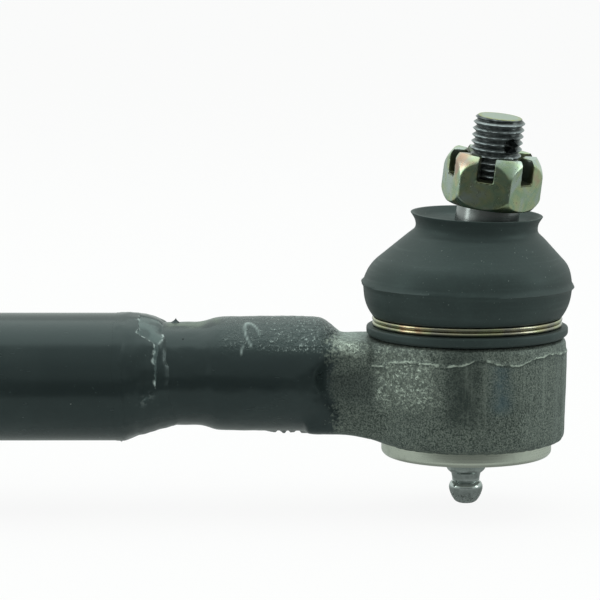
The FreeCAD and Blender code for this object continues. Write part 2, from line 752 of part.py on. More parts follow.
def make_check_spring(ball_centre, spring_top):
    body = new_body("nipple_check_spring")
    wire = sketch_on(body, "XZ_Plane", "check_wire")
    bottom = ball_centre - d.check_ball_radius
    half = d.check_wire_radius
    lowest = -(bottom - half / 2)
    outline(
        wire,
        (d.check_spring_radius - half, lowest),
        (d.check_spring_radius + half, lowest),
        (d.check_spring_radius + half, lowest + 2 * half),
        (d.check_spring_radius - half, lowest + 2 * half),
    )
    coil = body.newObject("PartDesign::AdditiveHelix", "check_coil")
    coil.Profile = wire
    coil.ReferenceAxis = (wire, [VERTICAL])
    coil.Mode = "height-turns-angle"
    height = bottom - spring_top - 3 * half
    coil.setExpression("Height", height.text)
    coil.setExpression("Turns", d.check_spring_turns.text)
    place(body)
    return body


def neck_share(height):
    """How far the boot at a height follows the stud, from nothing at the belly to all at the neck."""
    share = (height - belly_height) / (neck_height - belly_height)
    return share * share * (3 - 2 * share)


def boot_station(body, name, height, radius, share):
    sketch = sketch_on(
        body,
        "XY_Plane",
        name,
        offset_by(x=d.boot_neck_shift * share, z=height, angle=d.boot_neck_slant * share),
    )
    circle(sketch, radius)
    return sketch


def belly_corners(first_height, inward):
    """The boot's side from just above its foot up to its widest ring, bulging like soft rubber."""
    corners = []
    for step in range(BELLY_STEPS + 1):
        rest = 1 - step / BELLY_STEPS
        height = belly_height - (belly_height - first_height) * rest
        radius = d.boot_belly_radius - (d.boot_belly_radius - d.boot_waist_radius) * rest ** 3
        corners.append((radius - inward, height))
    return corners


def shoulder_stations(inward):
    """Heights and radii of the boot's shoulder, from its widest ring round to its straight slope."""
    curve = d.boot_shoulder_curve - inward
    stations = []
    for step in range(SHOULDER_STEPS + 1):
        angle = Size.of(step * QUARTER_TURN / 2 / SHOULDER_STEPS)
        height = belly_height + curve * sine(angle)
        radius = d.boot_belly_radius - d.boot_shoulder_curve + curve * cosine(angle)
        stations.append((height, radius))
    return stations


def make_dust_boot():
    body = new_body("dust_boot")
    foot = d.eye_top + d.boot_seat_gap
    edge = d.boot_flange_bevel
    lower = sketch_on(body, "XZ_Plane", "boot_foot_section")
    outline(
        lower,
        (ZERO, foot),
        (d.boot_flange_radius - edge, foot),
        (d.boot_flange_radius, foot + edge),
        (d.boot_flange_radius, groove_floor - edge),
        (d.boot_flange_radius - edge, groove_floor),
        (groove_radius, groove_floor),
        (groove_radius, groove_roof),
        *belly_corners(groove_roof, ZERO),
        (ZERO, belly_height),
    )
    revolve(body, lower, VERTICAL, "boot_foot")

    one = Size.of(1)
    curve = d.boot_neck_curve
    outer = [(height, radius, neck_share(height)) for height, radius in shoulder_stations(ZERO)]
    outer.append((slope_height, d.boot_slope_radius, neck_share(slope_height)))
    below_neck = neck_height - curve
    outer.append((below_neck, d.boot_neck_radius + d.boot_neck_flare, neck_share(below_neck)))
    outer.append((neck_height, d.boot_neck_radius, one))
    outer.append((neck_height + curve, d.boot_neck_radius + d.boot_rim_flare, one))
    outer.append((rim_height, d.boot_rim_radius, one))
    stations = [boot_station(body, f"boot_dome_{number}", *station) for number, station in enumerate(outer)]
    loft(body, stations, "AdditiveLoft", "boot_dome", ruled=True)

    aslant = offset_by(axis="0; 0; 1", angle=-d.boot_seam_slant)
    seam = sketch_on(body, "XZ_Plane", "boot_seam_section", aslant)
    tall = d.boot_seam_half_height
    crest = d.boot_seam_crest
    outline(
        seam,
        (d.boot_belly_radius - d.boot_wall / 2, belly_height - tall),
        (d.boot_belly_radius, belly_height - tall),
        (d.boot_belly_radius + d.boot_seam_rise, belly_height - crest),
        (d.boot_belly_radius + d.boot_seam_rise, belly_height + crest),
        (d.boot_belly_radius, belly_height + tall),
        (d.boot_belly_radius - d.boot_wall / 2, belly_height + tall),
    )
    revolve(body, seam, VERTICAL, "boot_seam")

    hollow = sketch_on(body, "XZ_Plane", "boot_hollow_section")
    wall = d.boot_wall
    bore = d.collar_radius + d.boot_seat_gap
    bead_bore = bore + d.collar_bead
    bead_foot = collar_top - d.collar_bead_height - d.boot_seat_gap
    bead_head = collar_top + d.boot_seat_gap
    outline(
        hollow,
        (ZERO, foot),
        (bore, foot),
        (bore, bead_foot),
        (bead_bore, bead_foot),
        (bead_bore, bead_head),
        *belly_corners(bead_head + wall / 2, wall),
        (ZERO, belly_height),
    )
    groove(body, hollow, VERTICAL, "boot_hollow")
    inner = [(height, radius, neck_share(height)) for height, radius in shoulder_stations(wall)]
    slant = wall * sine(Size.of(QUARTER_TURN / 2))
    ceiling = neck_height - d.boot_grip_length + wall / 2
    under_slope = slope_height - slant
    ceiling_radius = d.boot_slope_radius + slope_height - 2 * slant - ceiling
    inner.append((under_slope, d.boot_slope_radius - slant, neck_share(under_slope)))
    inner.append((ceiling, ceiling_radius, neck_share(ceiling)))
    stations = []
    for number, station in enumerate(inner):
        stations.append(boot_station(body, f"boot_hollow_{number}", *station))
    loft(body, stations, "SubtractiveLoft", "boot_dome_hollow", ruled=True)

    grip = sketch_on(body, "XZ_Plane", "boot_grip_section", offset_by(axis="0; 0; 1", angle=-d.stud_lean))
    low = ceiling - wall
    top = rim_height + wall
    outline(
        grip,
        (ZERO, low),
        (taper_radius(low) + d.boot_grip_gap, low),
        (taper_radius(top) + d.boot_grip_gap, top),
        (ZERO, top),
    )
    groove(body, grip, VERTICAL, "boot_grip")

    mouth = offset_by(x=d.boot_neck_shift, y=rim_height, axis="0; 0; 1", angle=-d.boot_neck_slant)
    funnel = sketch_on(body, "XZ_Plane", "boot_funnel_section", mouth)
    outline(
        funnel,
        (ZERO, -d.boot_funnel_depth),
        (d.taper_top_radius + d.boot_neck_shift + d.boot_grip_gap, -d.boot_funnel_depth),
        (d.boot_rim_radius - d.boot_rim_thickness, ZERO),
        (d.boot_rim_radius - d.boot_rim_thickness, wall),
        (ZERO, wall),
    )
    groove(body, funnel, VERTICAL, "boot_funnel")
    place(body, spin=d.lean_turn)
    return body


def make_boot_ring():
    """Two turns of wire. Each lies flat, and a short climb behind the boot leads from one to the other."""
    radius = ring_centre_radius.value
    low = (groove_floor + d.ring_side_gap + d.ring_wire_radius).value
    climb = math.radians(d.ring_cross_angle.value)
    behind = math.radians(QUARTER_TURN)

    def spot(angle, height):
        return FreeCAD.Vector(radius * math.cos(angle), radius * math.sin(angle), height)

    def turn(start, finish, height):
        middle = (start + finish) / 2
        return Part.Arc(spot(start, height), spot(middle, height), spot(finish, height)).toShape()

    high = low + d.ring_pitch.value
    first_end = behind - climb / 2
    second_start = behind + climb / 2
    whole = 2 * math.pi
    points = [spot(first_end, low), spot(behind, (low + high) / 2), spot(second_start, high)]
    tangents = [FreeCAD.Vector(-point.y, point.x, 0).normalize() for point in points]
    rise = Part.BSplineCurve()
    rise.interpolate(Points=points, InitialTangent=tangents[0], FinalTangent=tangents[-1])
    start = second_start - whole
    spine = Part.Wire([
        turn(start, first_end, low),
        rise.toShape(),
        turn(second_start, first_end + whole, high),
    ])
    outward = spot(start, low) - FreeCAD.Vector(0, 0, low)
    outward.normalize()
    rim = []
    for side in range(WIRE_SIDES + 1):
        angle = 2 * math.pi * (side + 0.5) / WIRE_SIDES
        across = outward * math.cos(angle) + FreeCAD.Vector(0, 0, math.sin(angle))
        rim.append(spot(start, low) + across * d.ring_wire_radius.value)
    section = Part.makePolygon(rim)
    ring = doc.addObject("Part::Feature", "boot_ring")
    ring.Label = "boot_ring"
    ring.Shape = spine.makePipeShell([section], True, True)
    place(ring)
    return ring


def taper_radius(height):
    return d.taper_top_radius + (taper_top - height) * d.taper_slope


def make_ball_stud():
    body = new_body("ball_stud")
    profile = sketch_on(body, "XZ_Plane", "stud_section")
    neck_top = collar_top + d.stud_neck_rise
    flare_top = neck_top + d.stud_flare
    relief_radius = d.thread_radius - d.thread_depth
    end_chamfer = d.thread_radius - d.stud_end_radius
    relief_top = taper_top + d.thread_relief
    outline(
        profile,
        (ZERO, -d.ball_flat),
        (side_of(d.ball_radius, d.ball_flat), -d.ball_flat, d.ball_radius, "right"),
        (d.stud_neck_radius, side_of(d.ball_radius, d.stud_neck_radius)),
        (d.stud_neck_radius, neck_top),
        (taper_radius(flare_top), flare_top),
        (d.taper_top_radius, taper_top),
        (relief_radius, taper_top),
        (relief_radius, relief_top),
        (d.thread_radius, relief_top + d.thread_depth),
        (d.thread_radius, stud_end - end_chamfer),
        (d.stud_end_radius, stud_end),
        (ZERO, stud_end),
    )
    revolve(body, profile, VERTICAL, "stud_turning")
    hole = sketch_on(body, "YZ_Plane", "cotter_hole_section")
    circle(hole, d.cotter_radius, y=stud_end - d.cotter_drop)
    pocket(body, hole, None, "cotter_hole", Type="ThroughAll", Midplane=True)
    place(body, spin=d.lean_turn, lean=d.stud_lean, turn=d.stud_turn)
    return body


def make_castle_nut():
    body = new_body("castle_nut")
    flats = sketch_on(body, "XY_Plane", "nut_flats", offset_by(z=nut_floor))
    hexagon(flats, d.nut_flats)
    extrude(body, flats, "Pad", d.nut_height, "nut_hexagon")
    corner = corner_radius(d.nut_flats)
    nut_top = nut_floor + d.nut_height
    for name, level, inward in (("lower", nut_floor, 1), ("upper", nut_top, -1)):
        cut = sketch_on(body, "XZ_Plane", f"nut_{name}_chamfer")
        outline(
            cut,
            (corner - d.nut_chamfer, level),
            (corner + d.nut_chamfer, level),
            (corner + d.nut_chamfer, level + inward * d.nut_chamfer),
        )
        groove(body, cut, VERTICAL, f"nut_{name}_corners")
    bore = sketch_on(body, "XZ_Plane", "nut_bore_section")
    edge = d.nut_countersink
    outline(
        bore,
        (ZERO, nut_floor),
        (nut_bore + edge, nut_floor),
        (nut_bore, nut_floor + edge),
        (nut_bore, nut_top - edge),
        (nut_bore + edge, nut_top),
        (ZERO, nut_top),
    )
    groove(body, bore, VERTICAL, "nut_bore")
    over_face = offset_by(z=nut_top, axis="0; 0; 1", angle=Size.of(HALF_FACE_ANGLE))
    slot = sketch_on(body, "XY_Plane", "nut_slot_section", over_face)
    outline(
        slot,
        (ZERO, -d.nut_slot_width / 2),
        (corner, -d.nut_slot_width / 2),
        (corner, d.nut_slot_width / 2),
        (ZERO, d.nut_slot_width / 2),
    )
    first = pocket(body, slot, d.nut_slot_depth, "nut_slot")
    slots = body.newObject("PartDesign::PolarPattern", "nut_slots")
    slots.Originals = [first]
    slots.Axis = (slot, ["N_Axis"])
    slots.Angle = FULL_TURN
    slots.Occurrences = HEXAGON_SIDES
    body.Tip = slots
    place(body, spin=d.lean_turn, lean=d.stud_lean, turn=d.nut_turn)
    return body


def check(parts):
    """Stop with the names of failed features or empty shapes."""
    failed = [item.Name for item in doc.Objects if {"Invalid", "Error"} & set(item.State)]
    if failed:
        raise RuntimeError(f"failed: {failed}")
    for part in parts:
        if part.Shape.isNull() or not part.Shape.isValid() or not part.Shape.Solids:
            raise RuntimeError(f"{part.Label} has no valid solid")


def main():
    nipple, ball_centre, spring_top = make_nipple_body()
    parts = [
        make_rod_tube(),
        make_weld_bead(),
        make_ball_housing(),
        make_upper_seat(),
        make_lower_seat(),
        make_disc_spring(),
        make_end_plate(),
        nipple,
        make_check_ball(ball_centre),
        make_check_spring(ball_centre, spring_top),
        make_dust_boot(),
        make_boot_ring(),
        make_ball_stud(),
        make_castle_nut(),
    ]
    doc.recompute()
    check(parts)
    os.makedirs("parts", exist_ok=True)
    for part in parts:
        part.Shape.exportStep(f"parts/{part.Label}.step")
        box = part.Shape.BoundBox
        print(
            f"{part.Label:22s} solids {len(part.Shape.Solids)} volume {part.Shape.Volume:10.2f} "
            f"x {box.XMin:8.2f} {box.XMax:8.2f} "
            f"y {box.YMin:7.2f} {box.YMax:7.2f} "
            f"z {box.ZMin:7.2f} {box.ZMax:7.2f}"
        )


main()
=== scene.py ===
"""Looks of a steering rod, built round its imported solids: paint, forging, rubber, thread and plated metal.

Lengths inside the classes are in millimetres from the ball's centre, and meshes are in metres in the row's frame.
"""

import json
import logging
import math
from dataclasses import dataclass, field
from enum import Enum
from typing import Callable, Optional, Sequence, Union

import bmesh
import bpy
import numpy as np
from mathutils import Matrix, Vector, noise

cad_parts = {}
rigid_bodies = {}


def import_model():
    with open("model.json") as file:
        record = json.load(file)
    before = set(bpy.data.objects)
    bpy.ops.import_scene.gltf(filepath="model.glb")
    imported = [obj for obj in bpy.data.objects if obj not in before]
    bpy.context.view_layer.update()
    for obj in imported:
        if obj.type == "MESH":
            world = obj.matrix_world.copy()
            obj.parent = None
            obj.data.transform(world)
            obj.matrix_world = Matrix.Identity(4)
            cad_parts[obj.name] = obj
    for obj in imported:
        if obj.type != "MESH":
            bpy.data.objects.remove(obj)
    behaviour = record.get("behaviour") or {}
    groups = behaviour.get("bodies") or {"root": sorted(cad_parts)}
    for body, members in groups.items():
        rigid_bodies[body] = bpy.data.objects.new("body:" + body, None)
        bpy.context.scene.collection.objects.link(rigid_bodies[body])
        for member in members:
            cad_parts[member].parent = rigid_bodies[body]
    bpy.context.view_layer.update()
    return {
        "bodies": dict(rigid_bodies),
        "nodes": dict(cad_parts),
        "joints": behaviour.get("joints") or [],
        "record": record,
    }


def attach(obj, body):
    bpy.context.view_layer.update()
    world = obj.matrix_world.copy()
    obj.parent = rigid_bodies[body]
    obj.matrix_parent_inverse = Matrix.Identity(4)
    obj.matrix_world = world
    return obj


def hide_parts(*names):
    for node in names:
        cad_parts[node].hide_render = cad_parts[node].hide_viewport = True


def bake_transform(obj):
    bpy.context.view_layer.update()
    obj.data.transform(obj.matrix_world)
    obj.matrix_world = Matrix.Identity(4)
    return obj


LOG = logging.getLogger("steering_rod")
MM = 0.001
BALL = np.array((180.0, 0.0, 0.0))
LEAN = math.radians(8.6)
LEAN_TURN = math.radians(-42.0)
STUD_TURN = math.radians(-15.0)
NUT_TURN = math.radians(28.0)

Setting = Union[str, int, float, bool, tuple, list]
Feed = Union["Value", float, Sequence[float]]


class Body(Enum):
    """The moving bodies that pieces ride on."""

    ROD = "rod"
    CHECK_BALL = "check_ball"
    BOOT_FOOT = "boot_foot"
    BOOT_NECK = "boot_neck"
    STUD = "stud"
    NUT = "nut"


class Slot(Enum):
    """The record's material slots."""

    BLACK_PAINT = "black_paint"
    WELD_PAINT = "weld_paint"
    FORGING = "forging"
    BRIGHT_STEEL = "bright_steel"
    YELLOW_ZINC = "yellow_zinc"
    WHITE_ZINC = "white_zinc"
    SPRING_STEEL = "spring_steel"
    BOOT_RUBBER = "boot_rubber"
    SEAT_PLASTIC = "seat_plastic"


class Value:
    """A node's output that can be written in sums."""

    def __init__(self, paint: "Paint", socket: bpy.types.NodeSocket) -> None:
        """Keep the paint that owns the node, and the socket."""
        self.paint = paint
        self.socket = socket

    def _sum(self, operation: str, *values: Feed) -> "Value":
        """One Math node."""
        return self.paint.node("ShaderNodeMath", {"operation": operation}, *values)

    def __add__(self, other: Feed) -> "Value":
        """self + other."""
        return self._sum("ADD", self, other)

    def __sub__(self, other: Feed) -> "Value":
        """self - other."""
        return self._sum("SUBTRACT", self, other)

    def __rsub__(self, other: Feed) -> "Value":
        """other - self."""
        return self._sum("SUBTRACT", other, self)

    def __mul__(self, other: Feed) -> "Value":
        """self * other."""
        return self._sum("MULTIPLY", self, other)

    __radd__ = __add__
    __rmul__ = __mul__

    def most(self, other: Feed) -> "Value":
        """The larger of the two."""
        return self._sum("MAXIMUM", self, other)

    def step(self, low: Feed, high: Feed) -> "Value":
        """A soft step from 0 at low to 1 at high."""
        choice = {"interpolation_type": "SMOOTHSTEP"}
        return self.paint.node("ShaderNodeMapRange", choice, self, low, high, 0.0, 1.0)

    def span(self, low: float, high: float) -> "Value":
        """The value from 0..1 stretched to low..high."""
        return self * (high - low) + low


@dataclass
class Layer:
    """What one finish gives to a surface: colour, roughness, metal and relief in millimetres."""

    colour: Feed
    roughness: Feed
    metal: Feed
    height: Feed

    def under(self, top: "Layer", mask: Value) -> "Layer":
        """Lay another finish over this one.

        Args:
            top: the finish that covers this one where the mask is 1.
            mask: where the top finish lies.

        Returns:
            The two finishes as one.
        """
        paint = mask.paint
        return Layer(
            paint.mix(self.colour, top.colour, mask),
            paint.blend(self.roughness, top.roughness, mask),
            paint.blend(self.metal, top.metal, mask),
            paint.blend(self.height, top.height, mask),
        )


class Paint:
    """A material whose nodes are written as sums."""

    def __init__(self, name: str, owner: Optional[bpy.types.World] = None, where: str = "Object") -> None:
        """Start with an empty node tree.

        Args:
            name: the material's name.
            owner: the world that has the nodes, or None for a new material.
            where: the kind of place that the nodes read.
        """
        self.material = owner or bpy.data.materials.new(name)
        self.material.use_nodes = True
        self.tree = self.material.node_tree
        self.tree.nodes.clear()
        self.where = self.node("ShaderNodeTexCoord", {}, output=where)

    def feed(self, socket: bpy.types.NodeSocket, value: Feed) -> None:
        """Link a value to a socket, or set the socket to a number or colour."""
        if isinstance(value, Value):
            self.tree.links.new(value.socket, socket)
        elif socket.type == "RGBA":
            socket.default_value = (*value[:3], 1.0)
        elif socket.type == "VECTOR" and isinstance(value, (int, float)):
            socket.default_value = (value, value, value)
        else:
            socket.default_value = value

    def node(self, kind: str, settings: dict[str, Setting], *values: Feed, output: Union[int, str] = 0,
             **named: Feed) -> Value:
        """Make any node.

        Args:
            kind: the node's type.
            settings: its own settings, set first; stops are a ramp's places and colours.
            values: what its sockets get, in their order.
            output: which output is handed back.
            named: what sockets get by name, with _ for a space.

        Returns:
            The chosen output.
        """
        made = self.tree.nodes.new(kind)
        for setting, choice in settings.items():
            if setting == "stops":
                ramp = made.color_ramp
                while len(ramp.elements) < len(choice):
                    ramp.elements.new(1.0)
                for element, (place, colour) in zip(ramp.elements, choice):
                    element.position = place
                    element.color = (*colour, 1.0)
            else:
                setattr(made, setting, choice)
        for socket, value in zip([socket for socket in made.inputs if socket.enabled], values):
            self.feed(socket, value)
        for name, value in named.items():
            self.feed(made.inputs[name.replace("_", " ")], value)
        if isinstance(output, str):
            return Value(self, made.outputs[output])
        return Value(self, [socket for socket in made.outputs if socket.enabled][output])

    def mix(self, first: Feed, second: Feed, share: Feed) -> Value:
        """Mix two colours by a share."""
        return self.node("ShaderNodeMix", {"data_type": "RGBA"}, share, first, second)

    def blend(self, first: Feed, second: Feed, share: Feed) -> Value:
        """Mix two numbers by a share."""
        return self.node("ShaderNodeMix", {"data_type": "FLOAT"}, share, first, second)

    def noise(self, grain: float, detail: float = 2.0, rough: float = 0.5, at: Optional[Value] = None,
              stretch: Sequence[float] = (1.0, 1.0, 1.0), warp: float = 0.0) -> Value:
        """Cloudy noise.

        Args:
            grain: size of its spots in millimetres.
            detail: octaves.
            rough: weight of the finer octaves.
            at: the place, or None for the object's own.
            stretch: how many times finer it is along each axis.
            warp: distortion.

        Returns:
            A value about 0.5.
        """
        scaled = self.scaled(at or self.where, [part / (grain * MM) for part in stretch])
        return self.node("ShaderNodeTexNoise", {}, scaled, 1.0, detail, rough, 2.0, warp)

    def vector(self, operation: str, *values: Feed, output: Union[int, str] = 0) -> Value:
        """One Vector Math node."""
        return self.node("ShaderNodeVectorMath", {"operation": operation}, *values, output=output)

    def scaled(self, vector: Value, factors: Sequence[float]) -> Value:
        """A vector times three factors."""
        return self.vector("MULTIPLY", vector, tuple(factors))

    def away(self, origin: Sequence[float]) -> Value:
        """The way from a point of the row's frame, in metres."""
        return self.vector("SUBTRACT", self.where, tuple(np.array(origin) * MM))

    def along(self, axis: Sequence[float], origin: Sequence[float] = BALL) -> Value:
        """Distance in millimetres along an axis from a point of the row's frame."""
        return self.vector("DOT_PRODUCT", self.away(origin), tuple(axis), output="Value") * (1 / MM)

    def off_axis(self, axis: Sequence[float], origin: Sequence[float] = BALL) -> Value:
        """Distance in millimetres from an axis through a point."""
        crossed = self.vector("CROSS_PRODUCT", self.away(origin), tuple(axis))
        return self.vector("LENGTH", crossed, output="Value") * (1 / MM)

    def part(self, axis: str) -> Value:
        """One part of the place: X, Y or Z."""
        return self.node("ShaderNodeSeparateXYZ", {}, self.where, output=axis)

    def ray(self, kind: str) -> Value:
        """Whether the ray is of a kind: Camera, Transmission or Glossy."""
        return self.node("ShaderNodeLightPath", {}, output=f"Is {kind} Ray")

    def joined(self, x: Feed, y: Feed, z: Feed) -> Value:
        """Three numbers as one vector."""
        return self.node("ShaderNodeCombineXYZ", {}, x, y, z)

    def mark(self, name: str) -> Value:
        """A number that the mesh carries at each corner."""
        return self.node("ShaderNodeAttribute", {"attribute_name": name}, output="Fac")

    def end(self, kind: str, shader: Value) -> None:
        """Close the tree with its output node."""
        self.tree.links.new(shader.socket, self.tree.nodes.new(kind).inputs["Surface"])

    def surface(self, layer: Layer, **fixed: Feed) -> bpy.types.Material:
        """Finish the material.

        Args:
            layer: what varies over the surface.
            fixed: the shader's sockets that are the same all over.

        Returns:
            The material.
        """
        bump = self.node("ShaderNodeBump", {}, Strength=1.0, Distance=MM, Height=layer.height)
        shader = self.node("ShaderNodeBsdfPrincipled", {}, Base_Color=layer.colour, Roughness=layer.roughness,
                           Metallic=layer.metal, Normal=bump, **fixed)
        self.end("ShaderNodeOutputMaterial", shader)
        return self.material


@dataclass(frozen=True)
class BlackPaint:
    """Gloss black paint that was dipped or sprayed over tube, weld and arm."""

    colour: tuple = (0.0165, 0.0235, 0.0245)
    dust: tuple = (0.07, 0.09, 0.088)
    chip: tuple = (0.42, 0.46, 0.44)
    sheen: tuple = (0.82, 0.98, 0.99)
    roughness: float = 0.2

    def layer(self, paint: Paint, peel: float = 0.012) -> Layer:
        """The paint as a layer.

        Args:
            paint: the material that it belongs to.
            peel: height of its orange peel in millimetres.

        Returns:
            The layer.
        """
        clouds = paint.noise(14, 4, 0.6)
        specks = paint.noise(0.55, 2, 0.6).step(0.69, 0.75) * paint.noise(9, 2).step(0.42, 0.66)
        colour = paint.mix(self.colour, self.dust, clouds.step(0.45, 0.85) * 0.16)
        colour = paint.mix(colour, self.dust, specks * 0.8)
        scuffs = paint.noise(2.2, 3, 0.7, stretch=(0.25, 1, 1))
        roughness = clouds.span(self.roughness - 0.05, self.roughness + 0.09) + scuffs.step(0.55, 0.8) * 0.1
        height = paint.noise(1.7, 3, 0.45) * peel + paint.noise(5.5, 2) * (peel * 2.5) + specks * 0.02
        return Layer(colour, roughness, 0.0, height)

    def material(self) -> bpy.types.Material:
        """The paint on the tube."""
        paint = Paint("gloss_black_paint")
        layer = self.layer(paint)
        chips = paint.noise(2.6, 3, 0.7).step(0.735, 0.755) * paint.noise(17, 2).step(0.5, 0.62)
        layer = layer.under(Layer(self.chip, 0.45, 0.0, -0.03), chips)
        return paint.surface(layer, Specular_IOR_Level=0.5, Specular_Tint=self.sheen)


@dataclass(frozen=True)
class WeldPaint:
    """The same paint over a weld, with a bare and glossy flake and bright edges, which are a painted highlight."""

    base: BlackPaint = BlackPaint()
    flake: tuple = (0.088, 0.118, 0.116)
    shade: tuple = (0.038, 0.054, 0.055)
    edge: tuple = (0.5, 0.57, 0.56)

    def material(self) -> bpy.types.Material:
        """The paint on the weld."""
        paint = Paint("painted_weld")
        layer = self.base.layer(paint, 0.02)
        flake = paint.mark("flake")
        tone = paint.mix(self.flake, self.shade, paint.noise(2.6, 3).step(0.38, 0.62))
        layer = layer.under(Layer(tone, 0.26, 0.0, paint.noise(0.8, 3) * 0.02), flake.step(0.3, 0.55))
        # Painted highlight along the flake's edges.
        rim = paint.mark("rim") * paint.noise(0.9, 2).step(0.42, 0.62)
        layer = layer.under(Layer(self.edge, 0.3, 0.0, 0.03), rim)
        return paint.surface(layer, Specular_IOR_Level=0.5, Specular_Tint=self.base.sheen)


@dataclass(frozen=True)
class Forging:
    """Bare forging with a grey phosphate coat, which runs under the black paint of the arm."""

    dark: tuple = (0.022, 0.029, 0.026)
    light: tuple = (0.2, 0.225, 0.197)
    glint: tuple = (0.62, 0.69, 0.6)
    sheen: tuple = (0.03, 0.038, 0.034)
    blue: tuple = (0.05, 0.088, 0.112)
    haze: tuple = (0.05, 0.068, 0.066)
    dot: tuple = (0.36, 0.42, 0.41)
    grime: tuple = (0.012, 0.016, 0.016)
    scrape: tuple = (0.34, 0.4, 0.39)
    olive: tuple = (0.17, 0.2, 0.15)
    paint_end: float = -26.0
    cover: BlackPaint = BlackPaint()

    def bare(self, paint: Paint) -> Layer:
        """The bare forging as a layer."""
        coarse = paint.mark("coarse")
        ridge = paint.mark("ridge")
        calm = paint.mark("calm")
        wander = paint.noise(2.4, 2).span(-0.5, 0.5)
        gap = paint.mark("line") + paint.noise(0.5, 2, 0.6).span(-0.3, 0.3) + wander
        line = gap.step(-0.26, -0.04) * (1 - gap.step(0.04, 0.3)) * paint.noise(1.9, 2).step(0.38, 0.6)
        shade = gap.step(-0.75, -0.25) * (1 - gap.step(-0.2, -0.02))
        grain = paint.noise(0.3, 3, 0.62)
        lumps = paint.noise(0.62, 3, 0.62)
        off = paint.noise(0.5, 3, 0.62, warp=0.7) - 0.54
        glints = (1 - (off * off).step(0.0004, 0.0028)) * paint.noise(0.8, 2).step(0.4, 0.6)
        clouds = paint.noise(6.5, 4, 0.6)
        streaks = paint.noise(0.9, 3, 0.65, stretch=(1, 1, 0.06)) * paint.mark("streaks")
        colour = paint.mix(self.dark, self.light, (grain * 0.88 + lumps * 0.12).step(0.34, 0.68))
        # Darker tone in random clouds, and painted shade on the eye's lower front.
        colour = paint.mix(colour, self.sheen, clouds.step(0.42, 0.75) * 0.4 + calm * 0.55)
        colour = paint.mix(colour, self.light, streaks.step(0.42, 0.7) * 0.4 + coarse * 0.35)
        colour = paint.mix(colour, self.blue, paint.mark("blue") * clouds.step(0.25, 0.55) * 0.75)
        colour = paint.mix(colour, self.dark, shade * 0.6)
        # Painted highlights: glints on the coarse pad, the bright edge of the trim line, and glints on the
        # upward-facing ridge.
        colour = paint.mix(colour, self.glint, (glints * coarse.span(0.06, 0.9)).most(line * 0.6).most(
            ridge * lumps.step(0.4, 0.62) * 0.5))
        roughness = clouds.span(0.4, 0.54) - glints * 0.14 - coarse * 0.08
        height = grain * coarse.span(0.09, 0.13) + lumps * coarse.span(0.05, 0.3) + streaks * 0.12 + line * 0.05
        return Layer(colour, roughness, (glints * coarse).span(0.3, 0.75), height)

    def material(self) -> bpy.types.Material:
        """The arm and the eye, painted on the tube's side."""
        paint = Paint("forged_arm")
        layer = self.bare(paint)
        # Painted shade in the hollow in the arm's side.
        grime = Layer(self.grime, 0.5, 0.0, paint.noise(0.8, 3) * 0.08)
        layer = layer.under(grime, paint.mark("hollow") * 0.5)
        fresh = self.cover.layer(paint, 0.014)
        worn = paint.mark("worn")
        peel = paint.noise(0.7, 3, 0.6, warp=0.5)
        fresh.height = fresh.height + peel * worn * 0.4
        glint_dots = paint.noise(0.48, 2, 0.6, stretch=(1.2, 1, 1)).step(0.53, 0.63) * peel.step(0.42, 0.6)
        # Painted highlights on the shank's upper side: a paler top and glint dots on the bumpy paint, whose bumps
        # are real relief.
        fresh.colour = paint.mix(fresh.colour, self.haze, worn * 0.75)
        fresh = fresh.under(Layer(self.dot, 0.26, 0.1, peel * 0.45 + 0.05), glint_dots * worn.step(0.25, 0.75))
        fresh = fresh.under(Layer(self.scrape, 0.3, 0.0, 0.12), paint.mark("scrape") * 0.85)
        ragged = paint.along((1, 0, 0)) + paint.noise(4.2, 3, 0.6).span(-4.0, 4.0)
        ragged = ragged + paint.noise(0.5, 2).span(-3.0, 3.0)
        painted = 1 - ragged.step(self.paint_end - 1.2, self.paint_end + 1.2)
        layer = layer.under(fresh, painted)
        film = paint.noise(1.6, 3, 0.6, stretch=(0.5, 1, 1))
        olive = paint.mark("olive") * film.step(0.3, 0.62)
        layer = layer.under(Layer(self.olive, 0.42, 0.2, film * 0.12), olive * 0.75)
        return paint.surface(layer, Specular_IOR_Level=0.5, Specular_Tint=self.cover.sheen)


@dataclass(frozen=True)
class TurnedSteel:
    """Steel turned on a lathe, its marks running round an axis."""

    name: str
    axis: tuple = (0.0, 0.0, 1.0)
    colour: tuple = (0.5, 0.51, 0.485)
    dull: tuple = (0.3, 0.31, 0.29)
    speck: tuple = (0.07, 0.075, 0.07)
    roughness: float = 0.27
    mark: float = 0.004
    fineness: float = 9.0

    def layer(self, paint: Paint) -> Layer:
        """Turning marks, handling stains and a few specks."""
        up, out = paint.along(self.axis), paint.off_axis(self.axis)
        rings = paint.joined(up * self.fineness, out * self.fineness, 0.0)
        marks = paint.node("ShaderNodeTexNoise", {}, rings, 1.0, 3.0, 0.6, 2.0, 0.0)
        clouds = paint.noise(4.0, 4, 0.6)
        specks = paint.noise(0.3, 2, 0.6).step(0.68, 0.74)
        colour = paint.mix(self.colour, self.dull, clouds.step(0.48, 0.8) * 0.7 + marks * 0.3)
        colour = paint.mix(colour, self.speck, specks * 0.7)
        roughness = marks.span(self.roughness - 0.06, self.roughness + 0.1) + clouds.step(0.5, 0.8) * 0.08
        return Layer(colour, roughness, 1.0, marks * self.mark - specks * 0.01)

    def material(self) -> bpy.types.Material:
        """The turned steel."""
        paint = Paint(self.name)
        return paint.surface(self.layer(paint))


